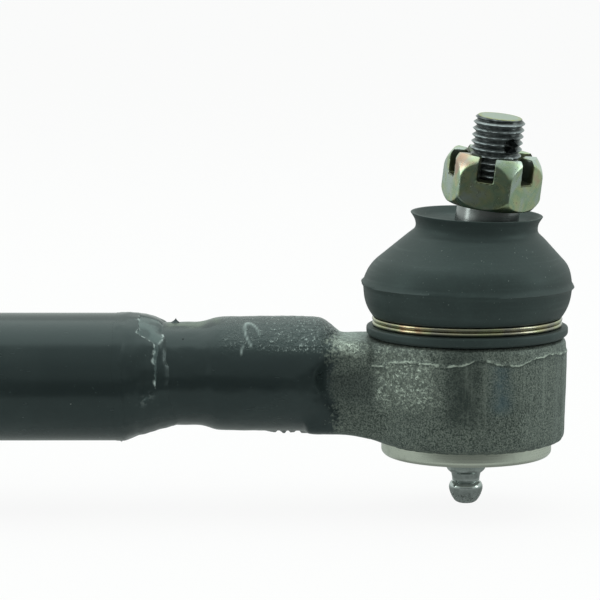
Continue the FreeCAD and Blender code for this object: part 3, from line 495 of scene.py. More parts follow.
@dataclass(frozen=True)
class StudSteel:
    """The stud: bright taper, a thread darker in its roots, and a burr of dirt round the cotter pin's hole."""

    axis: tuple
    hole: tuple
    steel: TurnedSteel
    oil: tuple = (0.026, 0.031, 0.033)
    patina: tuple = (0.29, 0.325, 0.34)
    pale: tuple = (0.36, 0.41, 0.35)
    straw: tuple = (0.36, 0.38, 0.17)
    cap: float = 51.7
    thread_start: float = 35.4
    crest: float = 4.92
    root: float = 4.4
    hole_height: float = 46.6

    def material(self) -> bpy.types.Material:
        """The stud's steel."""
        paint = Paint("stud_steel")
        layer = self.steel.layer(paint)
        up = paint.along(self.axis)
        out = paint.off_axis(self.axis)
        threaded = up.step(self.thread_start, self.thread_start + 0.3)
        deep = (1 - out.step(self.root, self.crest)) * threaded
        smear = paint.noise(1.6, 3, 0.6).step(0.3, 0.62)
        stain = (1 - paint.off_axis(self.hole, self.hole_centre()).step(1.5, 2.9)) * smear.step(0.0, 0.5)
        cap = up.step(self.cap - 0.12, self.cap - 0.04)
        bloom = paint.noise(0.6, 3, 0.6)
        layer = layer.under(Layer(self.patina, 0.3, 1.0, bloom * 0.03), threaded * smear.span(0.5, 0.9))
        # Darker in the thread's roots, and a stain round the cotter hole.
        film = (deep * (0.5 + smear * 0.5)).most(stain * threaded)
        layer = layer.under(Layer(self.oil, 0.3, 0.3, paint.noise(0.35, 3) * 0.06), film * (1 - cap))
        pale = paint.mix(self.pale, self.straw, out.step(3.2, 4.0) * bloom.step(0.35, 0.6))
        layer = layer.under(Layer(pale, 0.5, 0.7, bloom * 0.06), cap)
        return paint.surface(layer)

    def hole_centre(self) -> np.ndarray:
        """The cotter hole's middle, in the row's frame."""
        return BALL + np.array(self.axis) * self.hole_height


@dataclass(frozen=True)
class YellowZinc:
    """Zinc with a yellow passivate: straw, green and rose clouds on silver."""

    name: str
    grain: float = 5.0
    silver: tuple = (0.49, 0.57, 0.52)
    straw: tuple = (0.52, 0.57, 0.33)
    green: tuple = (0.37, 0.5, 0.34)
    rose: tuple = (0.58, 0.4, 0.3)
    pit: tuple = (0.1, 0.11, 0.085)
    dirt: tuple = (0.075, 0.07, 0.04)
    roughness: float = 0.27
    speck: float = 1.0

    def material(self) -> bpy.types.Material:
        """The plated metal."""
        paint = Paint(self.name)
        clouds = paint.noise(self.grain, 3, 0.55, warp=0.6)
        patches = paint.noise(self.grain * 0.8, 2, 0.5, at=paint.scaled(paint.where, (1.0, 1.3, 0.8)), warp=1.0)
        tint = paint.node("ShaderNodeValToRGB", {"stops": (
            (0.3, self.silver), (0.43, self.straw), (0.52, self.green), (0.6, self.straw), (0.7, self.rose),
        )}, clouds)
        colour = paint.mix(self.silver, tint, patches.step(0.34, 0.6))
        specks = paint.noise(0.34, 2, 0.6).step(0.66, 0.73) * self.speck
        colour = paint.mix(colour, self.pit, specks * 0.75)
        film = paint.noise(1.5, 3, 0.6)
        # Darker and rougher in the nut's slots and round its bore.
        grime = paint.mark("grime") * film.span(0.6, 1.1)
        colour = paint.mix(colour, self.dirt, grime)
        roughness = film.span(self.roughness - 0.08, self.roughness + 0.12) + grime * 0.15
        height = paint.noise(0.5, 3, 0.6) * 0.012 + film * 0.02 - specks * 0.02
        return paint.surface(Layer(colour, roughness, 1.0, height))


@dataclass(frozen=True)
class BrightZinc:
    """Bright zinc plate over a coarse turning, pitted near the tip."""

    name: str
    colour: tuple = (0.5, 0.54, 0.53)
    dark: tuple = (0.05, 0.06, 0.057)
    shade: tuple = (0.13, 0.16, 0.142)
    pits_below: float = -22.3
    waist: float = -19.2

    def material(self) -> bpy.types.Material:
        """The plated metal."""
        paint = Paint(self.name)
        height = paint.along((0, 0, 1))
        low = 1 - height.step(self.pits_below - 1.2, self.pits_below + 0.6)
        grain = paint.noise(0.32, 3, 0.65)
        pits = grain.step(0.52, 0.6) * (low * 0.75 + 0.04)
        clouds = paint.noise(1.6, 3)
        colour = paint.mix(self.colour, self.dark, pits * 0.9)
        shadow = height.step(self.waist - 0.4, self.waist + 2.4)
        colour = paint.mix(colour, self.shade, (clouds.step(0.42, 0.7) * 0.35).most(shadow * 0.6))
        roughness = clouds.span(0.07, 0.16) + low * 0.16
        return paint.surface(Layer(colour, roughness, 1.0, grain * 0.012 - pits * 0.06))


@dataclass(frozen=True)
class BootRubber:
    """Moulded rubber, matt, with rubbed streaks, pale bloom and dust."""

    colour: tuple = (0.029, 0.038, 0.038)
    bloom: tuple = (0.05, 0.07, 0.068)
    sheen: tuple = (0.76, 1.0, 0.98)
    dust: tuple = (0.3, 0.34, 0.33)

    def material(self) -> bpy.types.Material:
        """The rubber."""
        paint = Paint("boot_rubber_skin")
        clouds = paint.noise(8.0, 4, 0.62)
        rubs = paint.noise(5.0, 3, 0.6, stretch=(0.35, 0.35, 7.0))
        specks = paint.noise(0.42, 2, 0.6).step(0.715, 0.75)
        fine = paint.noise(0.5, 3, 0.6)
        colour = paint.mix(self.colour, self.bloom, clouds.step(0.46, 0.8) * 0.35 + rubs.step(0.5, 0.8) * 0.22)
        colour = paint.mix(colour, self.bloom, fine.step(0.5, 0.75) * 0.18)
        colour = paint.mix(colour, self.dust, specks * 0.55)
        roughness = clouds.span(0.44, 0.56) - rubs.step(0.5, 0.8) * 0.08
        height = fine * 0.014 + rubs * 0.012 + clouds * 0.05
        return paint.surface(Layer(colour, roughness, 0.0, height), Specular_IOR_Level=0.36,
                             Specular_Tint=self.sheen)


@dataclass(frozen=True)
class PlainFinish:
    """Pieces inside the joint: bearing plastic, spring steel and plated plate, with a fine grain."""

    name: str
    colour: tuple
    shade: tuple
    roughness: float
    metal: float

    def material(self) -> bpy.types.Material:
        """The finish."""
        paint = Paint(self.name)
        clouds = paint.noise(2.4, 3, 0.6)
        fine = paint.noise(0.3, 2, 0.6)
        colour = paint.mix(self.colour, self.shade, clouds.step(0.4, 0.75))
        return paint.surface(Layer(colour, clouds.span(self.roughness - 0.05, self.roughness + 0.08), self.metal,
                                   fine * 0.012))


def turned(points: np.ndarray, *turns: tuple[str, float]) -> np.ndarray:
    """Turn points about the frame's axes, first turn first.

    Args:
        points: an array that ends in x, y, z.
        turns: the axis and the angle of each turn.

    Returns:
        The turned points.
    """
    matrix = Matrix.Identity(3)
    for axis, angle in turns:
        matrix = Matrix.Rotation(angle, 3, axis) @ matrix
    return points @ np.array(matrix).T


def in_stud_frame(points: np.ndarray, turn: float = STUD_TURN, back: bool = False) -> np.ndarray:
    """Lean upright points as the stud leans, or set leaning points upright."""
    if back:
        return turned(points, ("Z", -LEAN_TURN), ("Y", -LEAN), ("Z", -turn))
    return turned(points, ("Z", turn), ("Y", LEAN), ("Z", LEAN_TURN))


def stud_axis() -> tuple[float, float, float]:
    """The stud's axis at rest."""
    return tuple(in_stud_frame(np.array((0.0, 0.0, 1.0))))


def wave(points: np.ndarray, size: float, seed: float = 0.0, octaves: int = 1) -> np.ndarray:
    """Smooth noise from -1 to 1 at points in millimetres.

    Args:
        points: an array of points.
        size: size of a wave in millimetres.
        seed: moves the noise.
        octaves: how many finer waves are added.

    Returns:
        One number for each point.
    """
    flat = points.reshape(-1, 3) / size + seed
    values = np.zeros(len(flat))
    for octave in range(octaves):
        scale = 2.0 ** octave
        values += np.array([noise.noise(Vector(point * scale)) for point in flat]) / scale
    return values.reshape(points.shape[:-1])


def smooth(value: np.ndarray, low: float, high: float) -> np.ndarray:
    """A soft step from 0 at low to 1 at high."""
    share = np.clip((value - low) / (high - low), 0, 1)
    return share * share * (3 - 2 * share)


def between(value: np.ndarray, low: tuple[float, float], high: tuple[float, float]) -> np.ndarray:
    """1 from the end of low to the start of high, with a soft step over each of the two."""
    return smooth(value, *low) * smooth(-value, -high[1], -high[0])


def turn_from_front(points: np.ndarray) -> np.ndarray:
    """Degrees round the rod's axis, from its front side upward."""
    return np.degrees(np.arctan2(points[..., 2], -points[..., 1]))


def turn_from_eye(points: np.ndarray) -> np.ndarray:
    """Degrees round the upright axis, from the eye's front away from the arm."""
    return np.degrees(np.arctan2(points[..., 0], -points[..., 1]))


def circle(count: int) -> np.ndarray:
    """Even angles all round."""
    return np.linspace(0, 2 * math.pi, count, endpoint=False)


def round_row(radius: Union[float, np.ndarray], height: float, angles: np.ndarray) -> np.ndarray:
    """A row of points round the upright axis."""
    return np.stack([radius * np.cos(angles), radius * np.sin(angles), np.full(len(angles), height)], -1)


def placed(name: str, data: bpy.types.ID) -> bpy.types.Object:
    """Put a mesh, lamp or camera into the scene."""
    made = bpy.data.objects.new(name, data)
    bpy.context.scene.collection.objects.link(made)
    return made


def shaded(mesh: bpy.types.Mesh, sharp: Optional[float] = None) -> None:
    """Shade a mesh smoothly, and leave edges with a greater angle than sharp degrees as they are."""
    mesh.polygons.foreach_set("use_smooth", [True] * len(mesh.polygons))
    if sharp is not None:
        mesh.set_sharp_from_angle(angle=math.radians(sharp))


def facing(way: Vector) -> tuple[float, float, float]:
    """The turn that makes a lamp or camera look along a way."""
    return way.to_track_quat("-Z", "Y").to_euler()


def bevelled(corners: Sequence[Sequence[float]], steps: int = 4) -> np.ndarray:
    """Round the corners of an open profile.

    Args:
        corners: (radius, height, rounding) of each corner.
        steps: points along each rounding.

    Returns:
        The profile's points.
    """
    made = []
    for number, corner in enumerate(corners):
        here = np.array(corner[:2], float)
        rounding = corner[2] if len(corner) > 2 else 0.0
        if not rounding or number in (0, len(corners) - 1):
            made.append(here)
            continue
        before = np.array(corners[number - 1][:2], float) - here
        after = np.array(corners[number + 1][:2], float) - here
        cut = min(rounding, np.linalg.norm(before) * 0.48, np.linalg.norm(after) * 0.48)
        start = here + before / np.linalg.norm(before) * cut
        end = here + after / np.linalg.norm(after) * cut
        for share in np.linspace(0, 1, steps + 1):
            made.append((1 - share) ** 2 * start + 2 * share * (1 - share) * here + share ** 2 * end)
    return np.array(made)


@dataclass
class Workshop:
    """Puts finished meshes into the scene and on their bodies."""

    frame: dict
    made: list[str] = field(default_factory=list)

    def mesh(self, name: str, rows: np.ndarray, closed: bool = True, loop: bool = False,
             sharp: float = 40.0) -> bpy.types.Object:
        """Make a mesh from rows of points.

        Args:
            name: the piece's name.
            rows: points in millimetres in the row's frame, as (rows, columns, 3).
            closed: whether each row closes on itself.
            loop: whether the last row joins the first.
            sharp: edges with a greater angle stay sharp, in degrees.

        Returns:
            The new object.
        """
        count, width = rows.shape[:2]
        faces = []
        for row in range(count if loop else count - 1):
            following = (row + 1) % count
            for column in range(width if closed else width - 1):
                beside = (column + 1) % width
                faces.append((row * width + column, row * width + beside,
                              following * width + beside, following * width + column))
        mesh = bpy.data.meshes.new(name)
        mesh.from_pydata((rows.reshape(-1, 3) * MM).tolist(), [], faces)
        return self.finish_mesh(name, mesh, sharp)

    def finish_mesh(self, name: str, mesh: bpy.types.Mesh, sharp: float = 40.0) -> bpy.types.Object:
        """Clean a mesh, turn its faces outward and link it as an object."""
        shape = bmesh.new()
        shape.from_mesh(mesh)
        bmesh.ops.remove_doubles(shape, verts=shape.verts, dist=1e-7)
        bmesh.ops.recalc_face_normals(shape, faces=shape.faces)
        shape.to_mesh(mesh)
        shape.free()
        shaded(mesh, sharp)
        return placed(name, mesh)

    def lathe(self, name: str, profile: np.ndarray, place: Callable[[np.ndarray], np.ndarray],
              segments: int = 128, sharp: float = 40.0) -> bpy.types.Object:
        """Turn a profile about the upright axis and put it in its place.

        Args:
            name: the piece's name.
            profile: (radius, height) points in millimetres.
            place: moves upright points round the ball's centre to their place.
            segments: sides of the turned piece.
            sharp: edges with a greater angle stay sharp, in degrees.

        Returns:
            The new object.
        """
        rows = np.stack([round_row(radius, height, circle(segments)) for radius, height in profile])
        return self.mesh(name, place(rows) + BALL, sharp=sharp)

    def applied(self, piece: bpy.types.Object) -> bpy.types.Object:
        """Turn a piece's modifiers into its mesh."""
        graph = bpy.context.evaluated_depsgraph_get()
        mesh = bpy.data.meshes.new_from_object(piece.evaluated_get(graph))
        piece.modifiers.clear()
        piece.data = mesh
        return piece

    def cut(self, piece: bpy.types.Object, tool: bpy.types.Object) -> bpy.types.Object:
        """Cut a piece with a tool and remove the tool."""
        for mesh in (piece.data, tool.data):
            mesh.transform(Matrix.Scale(1 / MM, 4))
        modifier = piece.modifiers.new("cut", "BOOLEAN")
        modifier.operation = "DIFFERENCE"
        modifier.solver = "EXACT"
        modifier.object = tool
        self.applied(piece)
        piece.data.transform(Matrix.Scale(MM, 4))
        bpy.data.objects.remove(tool)
        return piece

    def marks(self, piece: bpy.types.Object, **values: np.ndarray) -> None:
        """Give each corner of a mesh named numbers, which the finish reads."""
        for name, numbers in values.items():
            attribute = piece.data.attributes.new(name, "FLOAT", "POINT")
            attribute.data.foreach_set("value", np.asarray(numbers, np.float32).ravel())

    def copied(self, node: str, name: str, voxel: float) -> bpy.types.Object:
        """Copy a solid's mesh as a new piece of even small faces.

        Args:
            node: the solid.
            name: the new piece's name.
            voxel: size of the faces in millimetres.

        Returns:
            The new object.
        """
        piece = placed(name, self.frame["nodes"][node].data.copy())
        remesh = piece.modifiers.new("even", "REMESH")
        remesh.mode = "VOXEL"
        remesh.voxel_size = voxel * MM
        return self.applied(piece)

    def moved(self, piece: bpy.types.Object, points: np.ndarray) -> None:
        """Give a piece's corners new places, in millimetres from the ball's centre, and smooth shading."""
        piece.data.vertices.foreach_set("co", ((points + BALL) * MM).ravel())
        shaded(piece.data)
        piece.data.update()

    def relaxed(self, piece: bpy.types.Object, points: np.ndarray, rounds: int,
                share: Union[float, np.ndarray]) -> np.ndarray:
        """Draw each corner towards its neighbours' middle.

        Args:
            piece: the piece whose edges say which corners are neighbours.
            points: its corners.
            rounds: how many times.
            share: how far, for all corners or for each.

        Returns:
            The corners, smoothed.
        """
        ends = np.zeros(len(piece.data.edges) * 2, int)
        piece.data.edges.foreach_get("vertices", ends)
        first, second = ends.reshape(-1, 2).T
        count = np.maximum(np.bincount(ends, minlength=len(points)), 1)
        share = np.broadcast_to(share, len(points))[:, None]
        for _ in range(rounds):
            pull = np.stack([
                np.bincount(first, points[second, axis], len(points)) +
                np.bincount(second, points[first, axis], len(points)) for axis in range(3)
            ], -1) / count[:, None]
            points = points + (pull - points) * share
        return points

    def points(self, piece: bpy.types.Object) -> np.ndarray:
        """A piece's corners in millimetres from the ball's centre."""
        flat = np.zeros(len(piece.data.vertices) * 3)
        piece.data.vertices.foreach_get("co", flat)
        return flat.reshape(-1, 3) / MM - BALL

    def put(self, piece: bpy.types.Object, finish: bpy.types.Material,
            body: Optional[Body] = None, stands_for: Sequence[str] = ()) -> bpy.types.Object:
        """Dress a piece and put it on its body.

        Args:
            piece: the new piece.
            finish: its material.
            body: the body that it rides on, or None for a piece that spans two bodies, which is left on none.
            stands_for: the solids that it replaces.

        Returns:
            The piece.
        """
        piece.data.materials.clear()
        piece.data.materials.append(finish)
        if body:
            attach(piece, body.value)
        if stands_for:
            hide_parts(*stands_for)
        self.made.append(piece.name)
        LOG.info("%s: %d faces", piece.name, len(piece.data.polygons))
        return piece

    def dress(self, node: str, finish: bpy.types.Material) -> None:
        """Give a solid that stays a finish."""
        mesh = self.frame["nodes"][node].data
        mesh.materials.clear()
        mesh.materials.append(finish)
        LOG.info("%s: dressed", node)


@dataclass
class Tube:
    """The drawn tube, with a sawn end and faint waves in its wall."""

    radius: float = 12.5
    bore: float = 9.0
    seat: float = 9.3
    seat_depth: float = 14.5
    length: float = 113.3
    ball_at: float = 180.0
    chamfer: float = 0.7
    waviness: float = 0.05

    def build(self, shop: Workshop) -> None:
        """Make the tube."""
        start = -self.ball_at
        end = start + self.length
        outside = [(self.radius, x) for x in np.linspace(start + self.chamfer + 0.4, end, 180)]
        profile = np.array([
            (self.seat, end), (self.seat, end - self.seat_depth), (self.bore, end - self.seat_depth),
            (self.bore, start + 0.25),
            (self.bore + 0.1, start + 0.07), (self.bore + 0.3, start),
            (self.radius - self.chamfer - 0.1, start), (self.radius - self.chamfer + 0.12, start + 0.08),
            (self.radius - 0.12, start + self.chamfer - 0.12), (self.radius, start + self.chamfer + 0.15),
            *outside, (self.seat, end),
        ])
        piece = shop.lathe("tube_skin", profile, lambda rows: turned(rows, ("Y", math.pi / 2)), 160, 30)
        points = shop.points(piece)
        reach = np.hypot(points[:, 1], points[:, 2])
        wall = (reach > self.radius - 0.01) * smooth(points[:, 0], start + 1.5, start + 4)
        inward = (wave(points, 21, 3.1) + 0.5 * wave(points, 6, 8.7) + 1.5) / 3 * self.waviness
        scale = 1 - wall * inward / np.maximum(reach, 1)
        points[:, 1] *= scale
        points[:, 2] *= scale
        shop.moved(piece, points)
        shop.put(piece, BlackPaint().material(), Body.ROD, ["rod_tube"])


@dataclass
class Weld:
    """The fat weld between tube and arm, uneven all round, and the spatter beside it."""

    tube_radius: float = 12.5
    neck_radius: float = 10.1
    neck_raise: float = 0.65
    start: float = -66.7
    lap: float = 2.3
    top_run: float = 8.3
    low_run: float = 11.2
    crown: float = 0.1
    lump: float = 0.24
    ripple: float = 0.022
    ripple_length: float = 1.9
    segments: int = 420
    rows: int = 96
    sunk: float = 0.25
    drops: tuple = (
        ("spatter_spike", -56.9, 88.0, 10.7, 1.15, 0.95),
        ("spatter_low", -67.6, -84.0, 12.4, 1.1, 0.4),
        ("spatter_side", -55.2, 52.0, 10.5, 0.5, 0.35),
        ("spatter_back", -58.4, 140.0, 10.5, 0.9, 0.5),
    )

    def build(self, shop: Workshop) -> None:
        """Make the weld and its spatter."""
        angles = circle(self.segments)
        up = np.sin(angles)
        ring = np.stack([np.zeros_like(angles), np.cos(angles), up], -1)
        ragged = wave(ring * 9, 4.0, 2.2) + 0.6 * wave(ring * 9, 1.6, 5.1)
        run = self.low_run + (self.top_run - self.low_run) * (up + 1) / 2 + ragged * 0.75
        lap = self.lap * (0.72 + 0.28 * wave(ring * 9, 5.0, 9.4)) + ragged * 0.2
        neck = self.neck_radius + self.neck_raise * up
        rows = []
        for share in np.linspace(0, 1, self.rows):
            place = -lap + (run + lap) * share
            rest = np.clip(place / run, 0, 1)
            sharpness = 1.5 + 1.5 * np.maximum(up, 0) - 0.3 * np.maximum(-up, 0)
            fall = (1 - rest ** sharpness) ** 1.25
            low_sag = smooth(-up, 0.2, 1.0) * smooth(place, 0.0, 3.0) * 0.5
            radius = neck + (self.tube_radius - neck) * fall - low_sag * fall
            crown = self.crown * np.exp(-((place - 1.2) / 2.4) ** 2) * smooth(share, 0.0, 0.12)
            spot = np.stack([place, np.cos(angles) * radius, up * radius], -1)
            lumps = wave(spot, 6.0, 1.7, 2) * self.lump + wave(spot, 1.8, 6.3) * 0.035
            beads = np.sin((place + 0.9 * wave(spot, 5, 4.4)) * 2 * math.pi / self.ripple_length) * self.ripple
            live = smooth(share, 0.0, 0.1) * smooth(1 - share, 0.0, 0.12)
            radius = radius + crown + (lumps + beads) * live
            radius = np.maximum(radius, np.where(place < 0, self.tube_radius + 0.03, neck - 0.25))
            radius = radius - 0.3 * smooth(share, 0.86, 1.0)
            radius = np.where(share in (0.0, 1.0), radius - 0.3, radius)
            rows.append(np.stack([self.start + place, np.cos(angles) * radius, up * radius], -1))
        rows.append(rows[-1] * (1, 0.93, 0.93))
        rows.insert(0, rows[0] * (1, 0.93, 0.93))
        grid = np.array(rows)
        flake, rim = self.flake(grid)
        out = grid * (0, 1, 1)
        out /= np.linalg.norm(out, axis=-1, keepdims=True)
        grid = grid + out * ((rim * 0.06 - smooth(flake, 0.3, 0.6) * 0.12)[..., None])
        piece = shop.mesh("weld_skin", grid + BALL, sharp=60)
        points = shop.points(piece)
        flake, rim = self.flake(points)
        shop.marks(piece, flake=flake, rim=rim)
        shop.put(piece, WeldPaint().material(), Body.ROD, ["weld_bead"])
        self.spatter(shop)

    def flake(self, points: np.ndarray) -> tuple[np.ndarray, np.ndarray]:
        """Where the paint has a pale, glossy flake, and where its edges catch the light.

        Args:
            points: points in millimetres from the ball's centre.

        Returns:
            How far inside the flake each point is, and how near its rim.
        """
        x, y, z = points[..., 0], points[..., 1], points[..., 2]
        turn = turn_from_front(points)
        wobble = wave(points, 2.2, 3.3) * 0.5 + wave(points, 0.9, 7.1) * 0.25
        high = smooth(turn, 40, 52)
        tail = smooth(turn, 4, 40)
        left = -63.7 + 3.1 * (1 - high) + 0.3 * (1 - tail)
        right = -59.0 - 0.7 * (1 - high) - 0.3 * (1 - tail)
        inside = np.minimum(x - left + wobble, right - x - wobble * 0.4)
        inside = np.where((y < 0) & (turn > -6) & (turn < 82), inside, -5.0)
        inside = inside + np.minimum(0, (turn - 2) / 12) + np.minimum(0, (80 - turn) / 5)
        rim = np.exp(-(inside / 0.22) ** 2) * smooth(wave(points, 3.0, 5.9), -0.25, 0.25)
        rim = rim * np.where(right - x < x - left, smooth(turn, 38, 52), 1.0)
        low = np.exp(-((x + 62.0 - (turn + 14) * 0.09) / 1.0) ** 2 - ((turn + 14) / 5.5) ** 2) * (y < 0)
        return np.maximum(smooth(inside, -0.2, 0.3), low * 0.5), np.maximum(rim, low * 0.2)

    def spatter(self, shop: Workshop) -> None:
        """Drops of weld beside the bead, each given as name, x, turn, radius, width and height."""
        material = BlackPaint().material()
        angles = circle(24)
        for name, x, turn, radius, width, height in self.drops:
            rows = []
            for share in np.linspace(0, 1, 9):
                reach = width * (1 - share) ** 1.6
                ragged = 1 + 0.16 * np.sin(3 * angles + share * 2) + 0.1 * np.sin(5 * angles)
                lift = radius - self.sunk + (height + self.sunk) * share
                rows.append(round_row(reach * ragged, lift, angles) + (0.25 * share, 0, 0))
            grid = turned(np.array(rows), ("X", math.radians(90 - turn)))
            piece = shop.mesh(name, grid + BALL + (x, 0, 0), sharp=70)
            shop.put(piece, material, Body.ROD)


@dataclass
class Arm:
    """The forged arm with its eye, taken from its solid, softened like a forging and roughened."""

    voxel: float = 0.36
    eye_top: float = 8.1
    eye_floor: float = -12.1
    boss_radius: float = 16.6
    boss_floor: float = -15.2
    lip_opening: float = 13.0
    plate_floor: float = -14.6
    loop_at: tuple = (-41.6, 52.0)
    loop_size: tuple = (1.35, 17.0)
    lumps: tuple = ((9.0, 1.1, 0.10), (3.1, 2.3, 0.05), (1.2, 5.6, 0.022))
    line_knots: tuple = (
        (-180.0, 5.2), (-120.0, 4.6), (-90.0, 3.2), (-58.0, 3.6), (-50.0, 4.6), (-40.0, 5.1), (-25.0, 5.1),
        (-16.0, 4.6), (-8.0, 4.85), (1.0, 6.05), (9.0, 5.8), (16.0, 5.05), (28.0, 4.7), (37.0, 5.7), (50.0, 6.15),
        (75.0, 5.6), (110.0, 4.8), (150.0, 5.6), (180.0, 5.2),
    )

    def build(self, shop: Workshop) -> None:
        """Make the forging and its machined boss."""
        piece = shop.copied("ball_housing", "forging_skin", self.voxel)
        self.drop_hidden(piece)
        points = self.soften(shop, piece, shop.points(piece))
        shop.moved(piece, points)
        normals = np.zeros(len(points) * 3)
        piece.data.vertex_normals.foreach_get("vector", normals)
        normals = normals.reshape(-1, 3)
        points = points + normals * self.relief(points, normals)[:, None]
        shop.moved(piece, points)
        shop.marks(piece, **self.wear(points, normals))
        shop.put(piece, Forging().material(), Body.ROD, ["ball_housing"])
        self.lip(shop)

    def drop_hidden(self, piece: bpy.types.Object) -> None:
        """Leave out the walls that the machined boss replaces and what the tube hides."""
        shape = bmesh.new()
        shape.from_mesh(piece.data)
        hidden = []
        for face in shape.faces:
            x, y, z = np.array(face.calc_center_median()) / MM - BALL
            reach = math.hypot(x, y)
            if x < -70 or (z < self.eye_floor - 0.55 and reach > self.lip_opening - 0.2):
                hidden.append(face)
        bmesh.ops.delete(shape, geom=hidden, context="FACES")
        shape.to_mesh(piece.data)
        shape.free()

    def soften(self, shop: Workshop, piece: bpy.types.Object, points: np.ndarray) -> np.ndarray:
        """Smooth the even mesh, most where the forging's shapes run into each other.

        Args:
            shop: the workshop.
            piece: the remeshed piece, for its edges.
            points: its corners.

        Returns:
            The smoothed corners.
        """
        x, z = points[:, 0], points[:, 2]
        reach = np.hypot(x, points[:, 1])
        turned_wall = (reach < 15.5) & ((z > self.eye_top - 0.2) | (reach < 13.6))
        web = between(x, (-34, -28), (-17, -12.5)) * ~turned_wall
        points = shop.relaxed(piece, points, 9, np.where(turned_wall, 0.12, 0.55))
        step = between(x, (-55, -52), (-45.5, -42))
        return shop.relaxed(piece, points, 40, np.maximum(web, step) * 0.55)

    def trim_line(self, points: np.ndarray) -> np.ndarray:
        """Height above the wavy line that the trimming tool left round the eye."""
        around = turn_from_eye(points)
        level = np.interp(around, *zip(*self.line_knots)) + 0.14 * wave(points, 1.3, 4.1)
        return points[:, 2] - level

    def hollow(self, points: np.ndarray) -> np.ndarray:
        """The hollow in the arm's side, before the eye, which the finish darkens as painted shade."""
        x, y, z = points.T
        edge = wave(points, 4.0, 2.7) * 0.8
        along = between(x + edge, (-33.5, -27.0), (-20.5, -14.5))
        across = between(z + edge * 0.5, (-5.6, -2.0), (0.6, 4.0))
        return along * across * smooth(np.abs(y), 4.0, 6.0)

    def relief(self, points: np.ndarray, normals: np.ndarray) -> np.ndarray:
        """Unevenness of the forging along its normals, in millimetres."""
        x, y, z = points.T
        reach = np.hypot(x, y)
        skin = ((reach > 16.9) | (x < -14)).astype(float) * smooth(-z, -self.eye_top - 0.3, -self.eye_top + 1.2)
        skin = np.where(x < -20, 1.0, skin)
        side = smooth(reach, 18.2, 19.0) * (x > -19) * skin
        height = sum(wave(points, size, seed) * rise for size, seed, rise in self.lumps)
        line = self.trim_line(points)
        height = height + side * (0.12 * np.exp(-(line / 0.3) ** 2) - 0.14 * smooth(line, 0.0, 0.7) - 0.05)
        coarse = self.pad(points)
        height = height + coarse * 0.2 * smooth(wave(points, 1.0, 3.9), -0.3, 0.6)
        around = turn_from_eye(points) * 0.34
        facets = wave(np.stack([around, y * 0, z * 0.1], -1), 3.0, 7.7)
        height = height + side * smooth(x, -4, 2) * smooth(-line, 0, 1) * facets * 0.22
        under = smooth(-normals[:, 2], 0.8, 0.98) * between(x, (-39.5, -37.5), (-23.5, -21.5))
        teeth = smooth(np.sin(x * 2.75 + 1.4 * np.sin(x * 0.9)), -0.55, 0.1) * smooth(np.abs(x + 28.6), 0.5, 0.9)
        height = height + under * teeth * (0.45 + 0.2 * wave(points, 2.0, 6.6)) * np.exp(-(y / 2.4) ** 4)
        scar = np.exp(-((x + 30.0) / 9.0) ** 2) * smooth(z, 5.0, 8.5) * (x < -24)
        height = height + scar * wave(points, 0.9, 9.1) * 0.09
        height = height + self.scrape(points) * 0.14
        return height * skin - 0.65 * self.hollow(points)

    def pad(self, points: np.ndarray) -> np.ndarray:
        """The coarse pad on the eye's side beside the arm."""
        x, y, z = points.T
        edge = wave(points, 3.0, 8.8) * 1.1
        across = between(x + edge, (-18.8, -16.8), (-9.5, -4.5))
        above = 0.45 + 0.55 * smooth(-self.trim_line(points), -0.1, 0.5)
        return across * smooth(z + edge, -5.8, -1.8) * above * (y < 0)

    def scrape(self, points: np.ndarray) -> np.ndarray:
        """A looping ridge in the paint of the shank."""
        x, y, z = points.T
        turn = turn_from_front(points)
        beside, above = x - self.loop_at[0], turn - self.loop_at[1]
        width, reach = self.loop_size
        loop = np.hypot((beside + above * 0.05) / width, above / reach)
        gap = smooth(np.degrees(np.arctan2(above / reach, beside / width)) % 360, 250, 275)
        ridge = np.exp(-((loop - 1.0) / 0.13) ** 2) * (1 - gap)
        trail = np.exp(-((x + 43.6 - (turn - 36) * 0.03) / 0.16) ** 2) * between(turn, (28, 33), (37, 42))
        return np.maximum(ridge, trail) * (y < 0) * smooth(wave(points, 1.6, 3.8), -0.75, -0.1)

    def wear(self, points: np.ndarray, normals: np.ndarray) -> dict[str, np.ndarray]:
        """Numbers that the forging's finish reads, from 0 to 1 at each corner."""
        x, y, z = points.T
        up = normals[:, 2]
        turn = turn_from_front(points)
        ridge = between(x, (-31, -27), (-22, -18)) * smooth(z, 2.2, 4.4) * smooth(up, -0.05, 0.3)
        # The shank's upper side: bumpy paint, and where the finish paints its highlights.
        worn = smooth(x, -49.5, -46) * between(turn, (24, 42), (95, 130))
        worn = worn * (0.5 + 0.5 * smooth(x, -42, -32))
        side = (np.hypot(x, y) > 18.4) * (x > -19.0)
        line = np.where(side, np.clip(self.trim_line(points), -3, 3), 3.0)
        around = turn_from_eye(points)
        below = smooth(-self.trim_line(points), 0, 0.8)
        patch = np.exp(-((around - 17) / 5.5) ** 2) * smooth(z, -5.5, -2.5) * below
        return {
            "coarse": np.maximum(self.pad(points), ridge),
            "ridge": ridge * smooth(-x, 19, 24),
            "line": line,
            # Painted shade on the lower front of the eye.
            "calm": np.exp(-((around + 5) / 11.0) ** 4) * smooth(z, -9, -5) * side,
            "streaks": smooth(x, -6, 0) * smooth(np.hypot(x, y), 18.4, 19.2),
            "worn": worn,
            "olive": smooth(up, 0.9, 0.985) * between(x, (-59, -57.5), (-49, -47.5)),
            "hollow": self.hollow(points),
            "scrape": self.scrape(points),
            "blue": patch * side,
        }

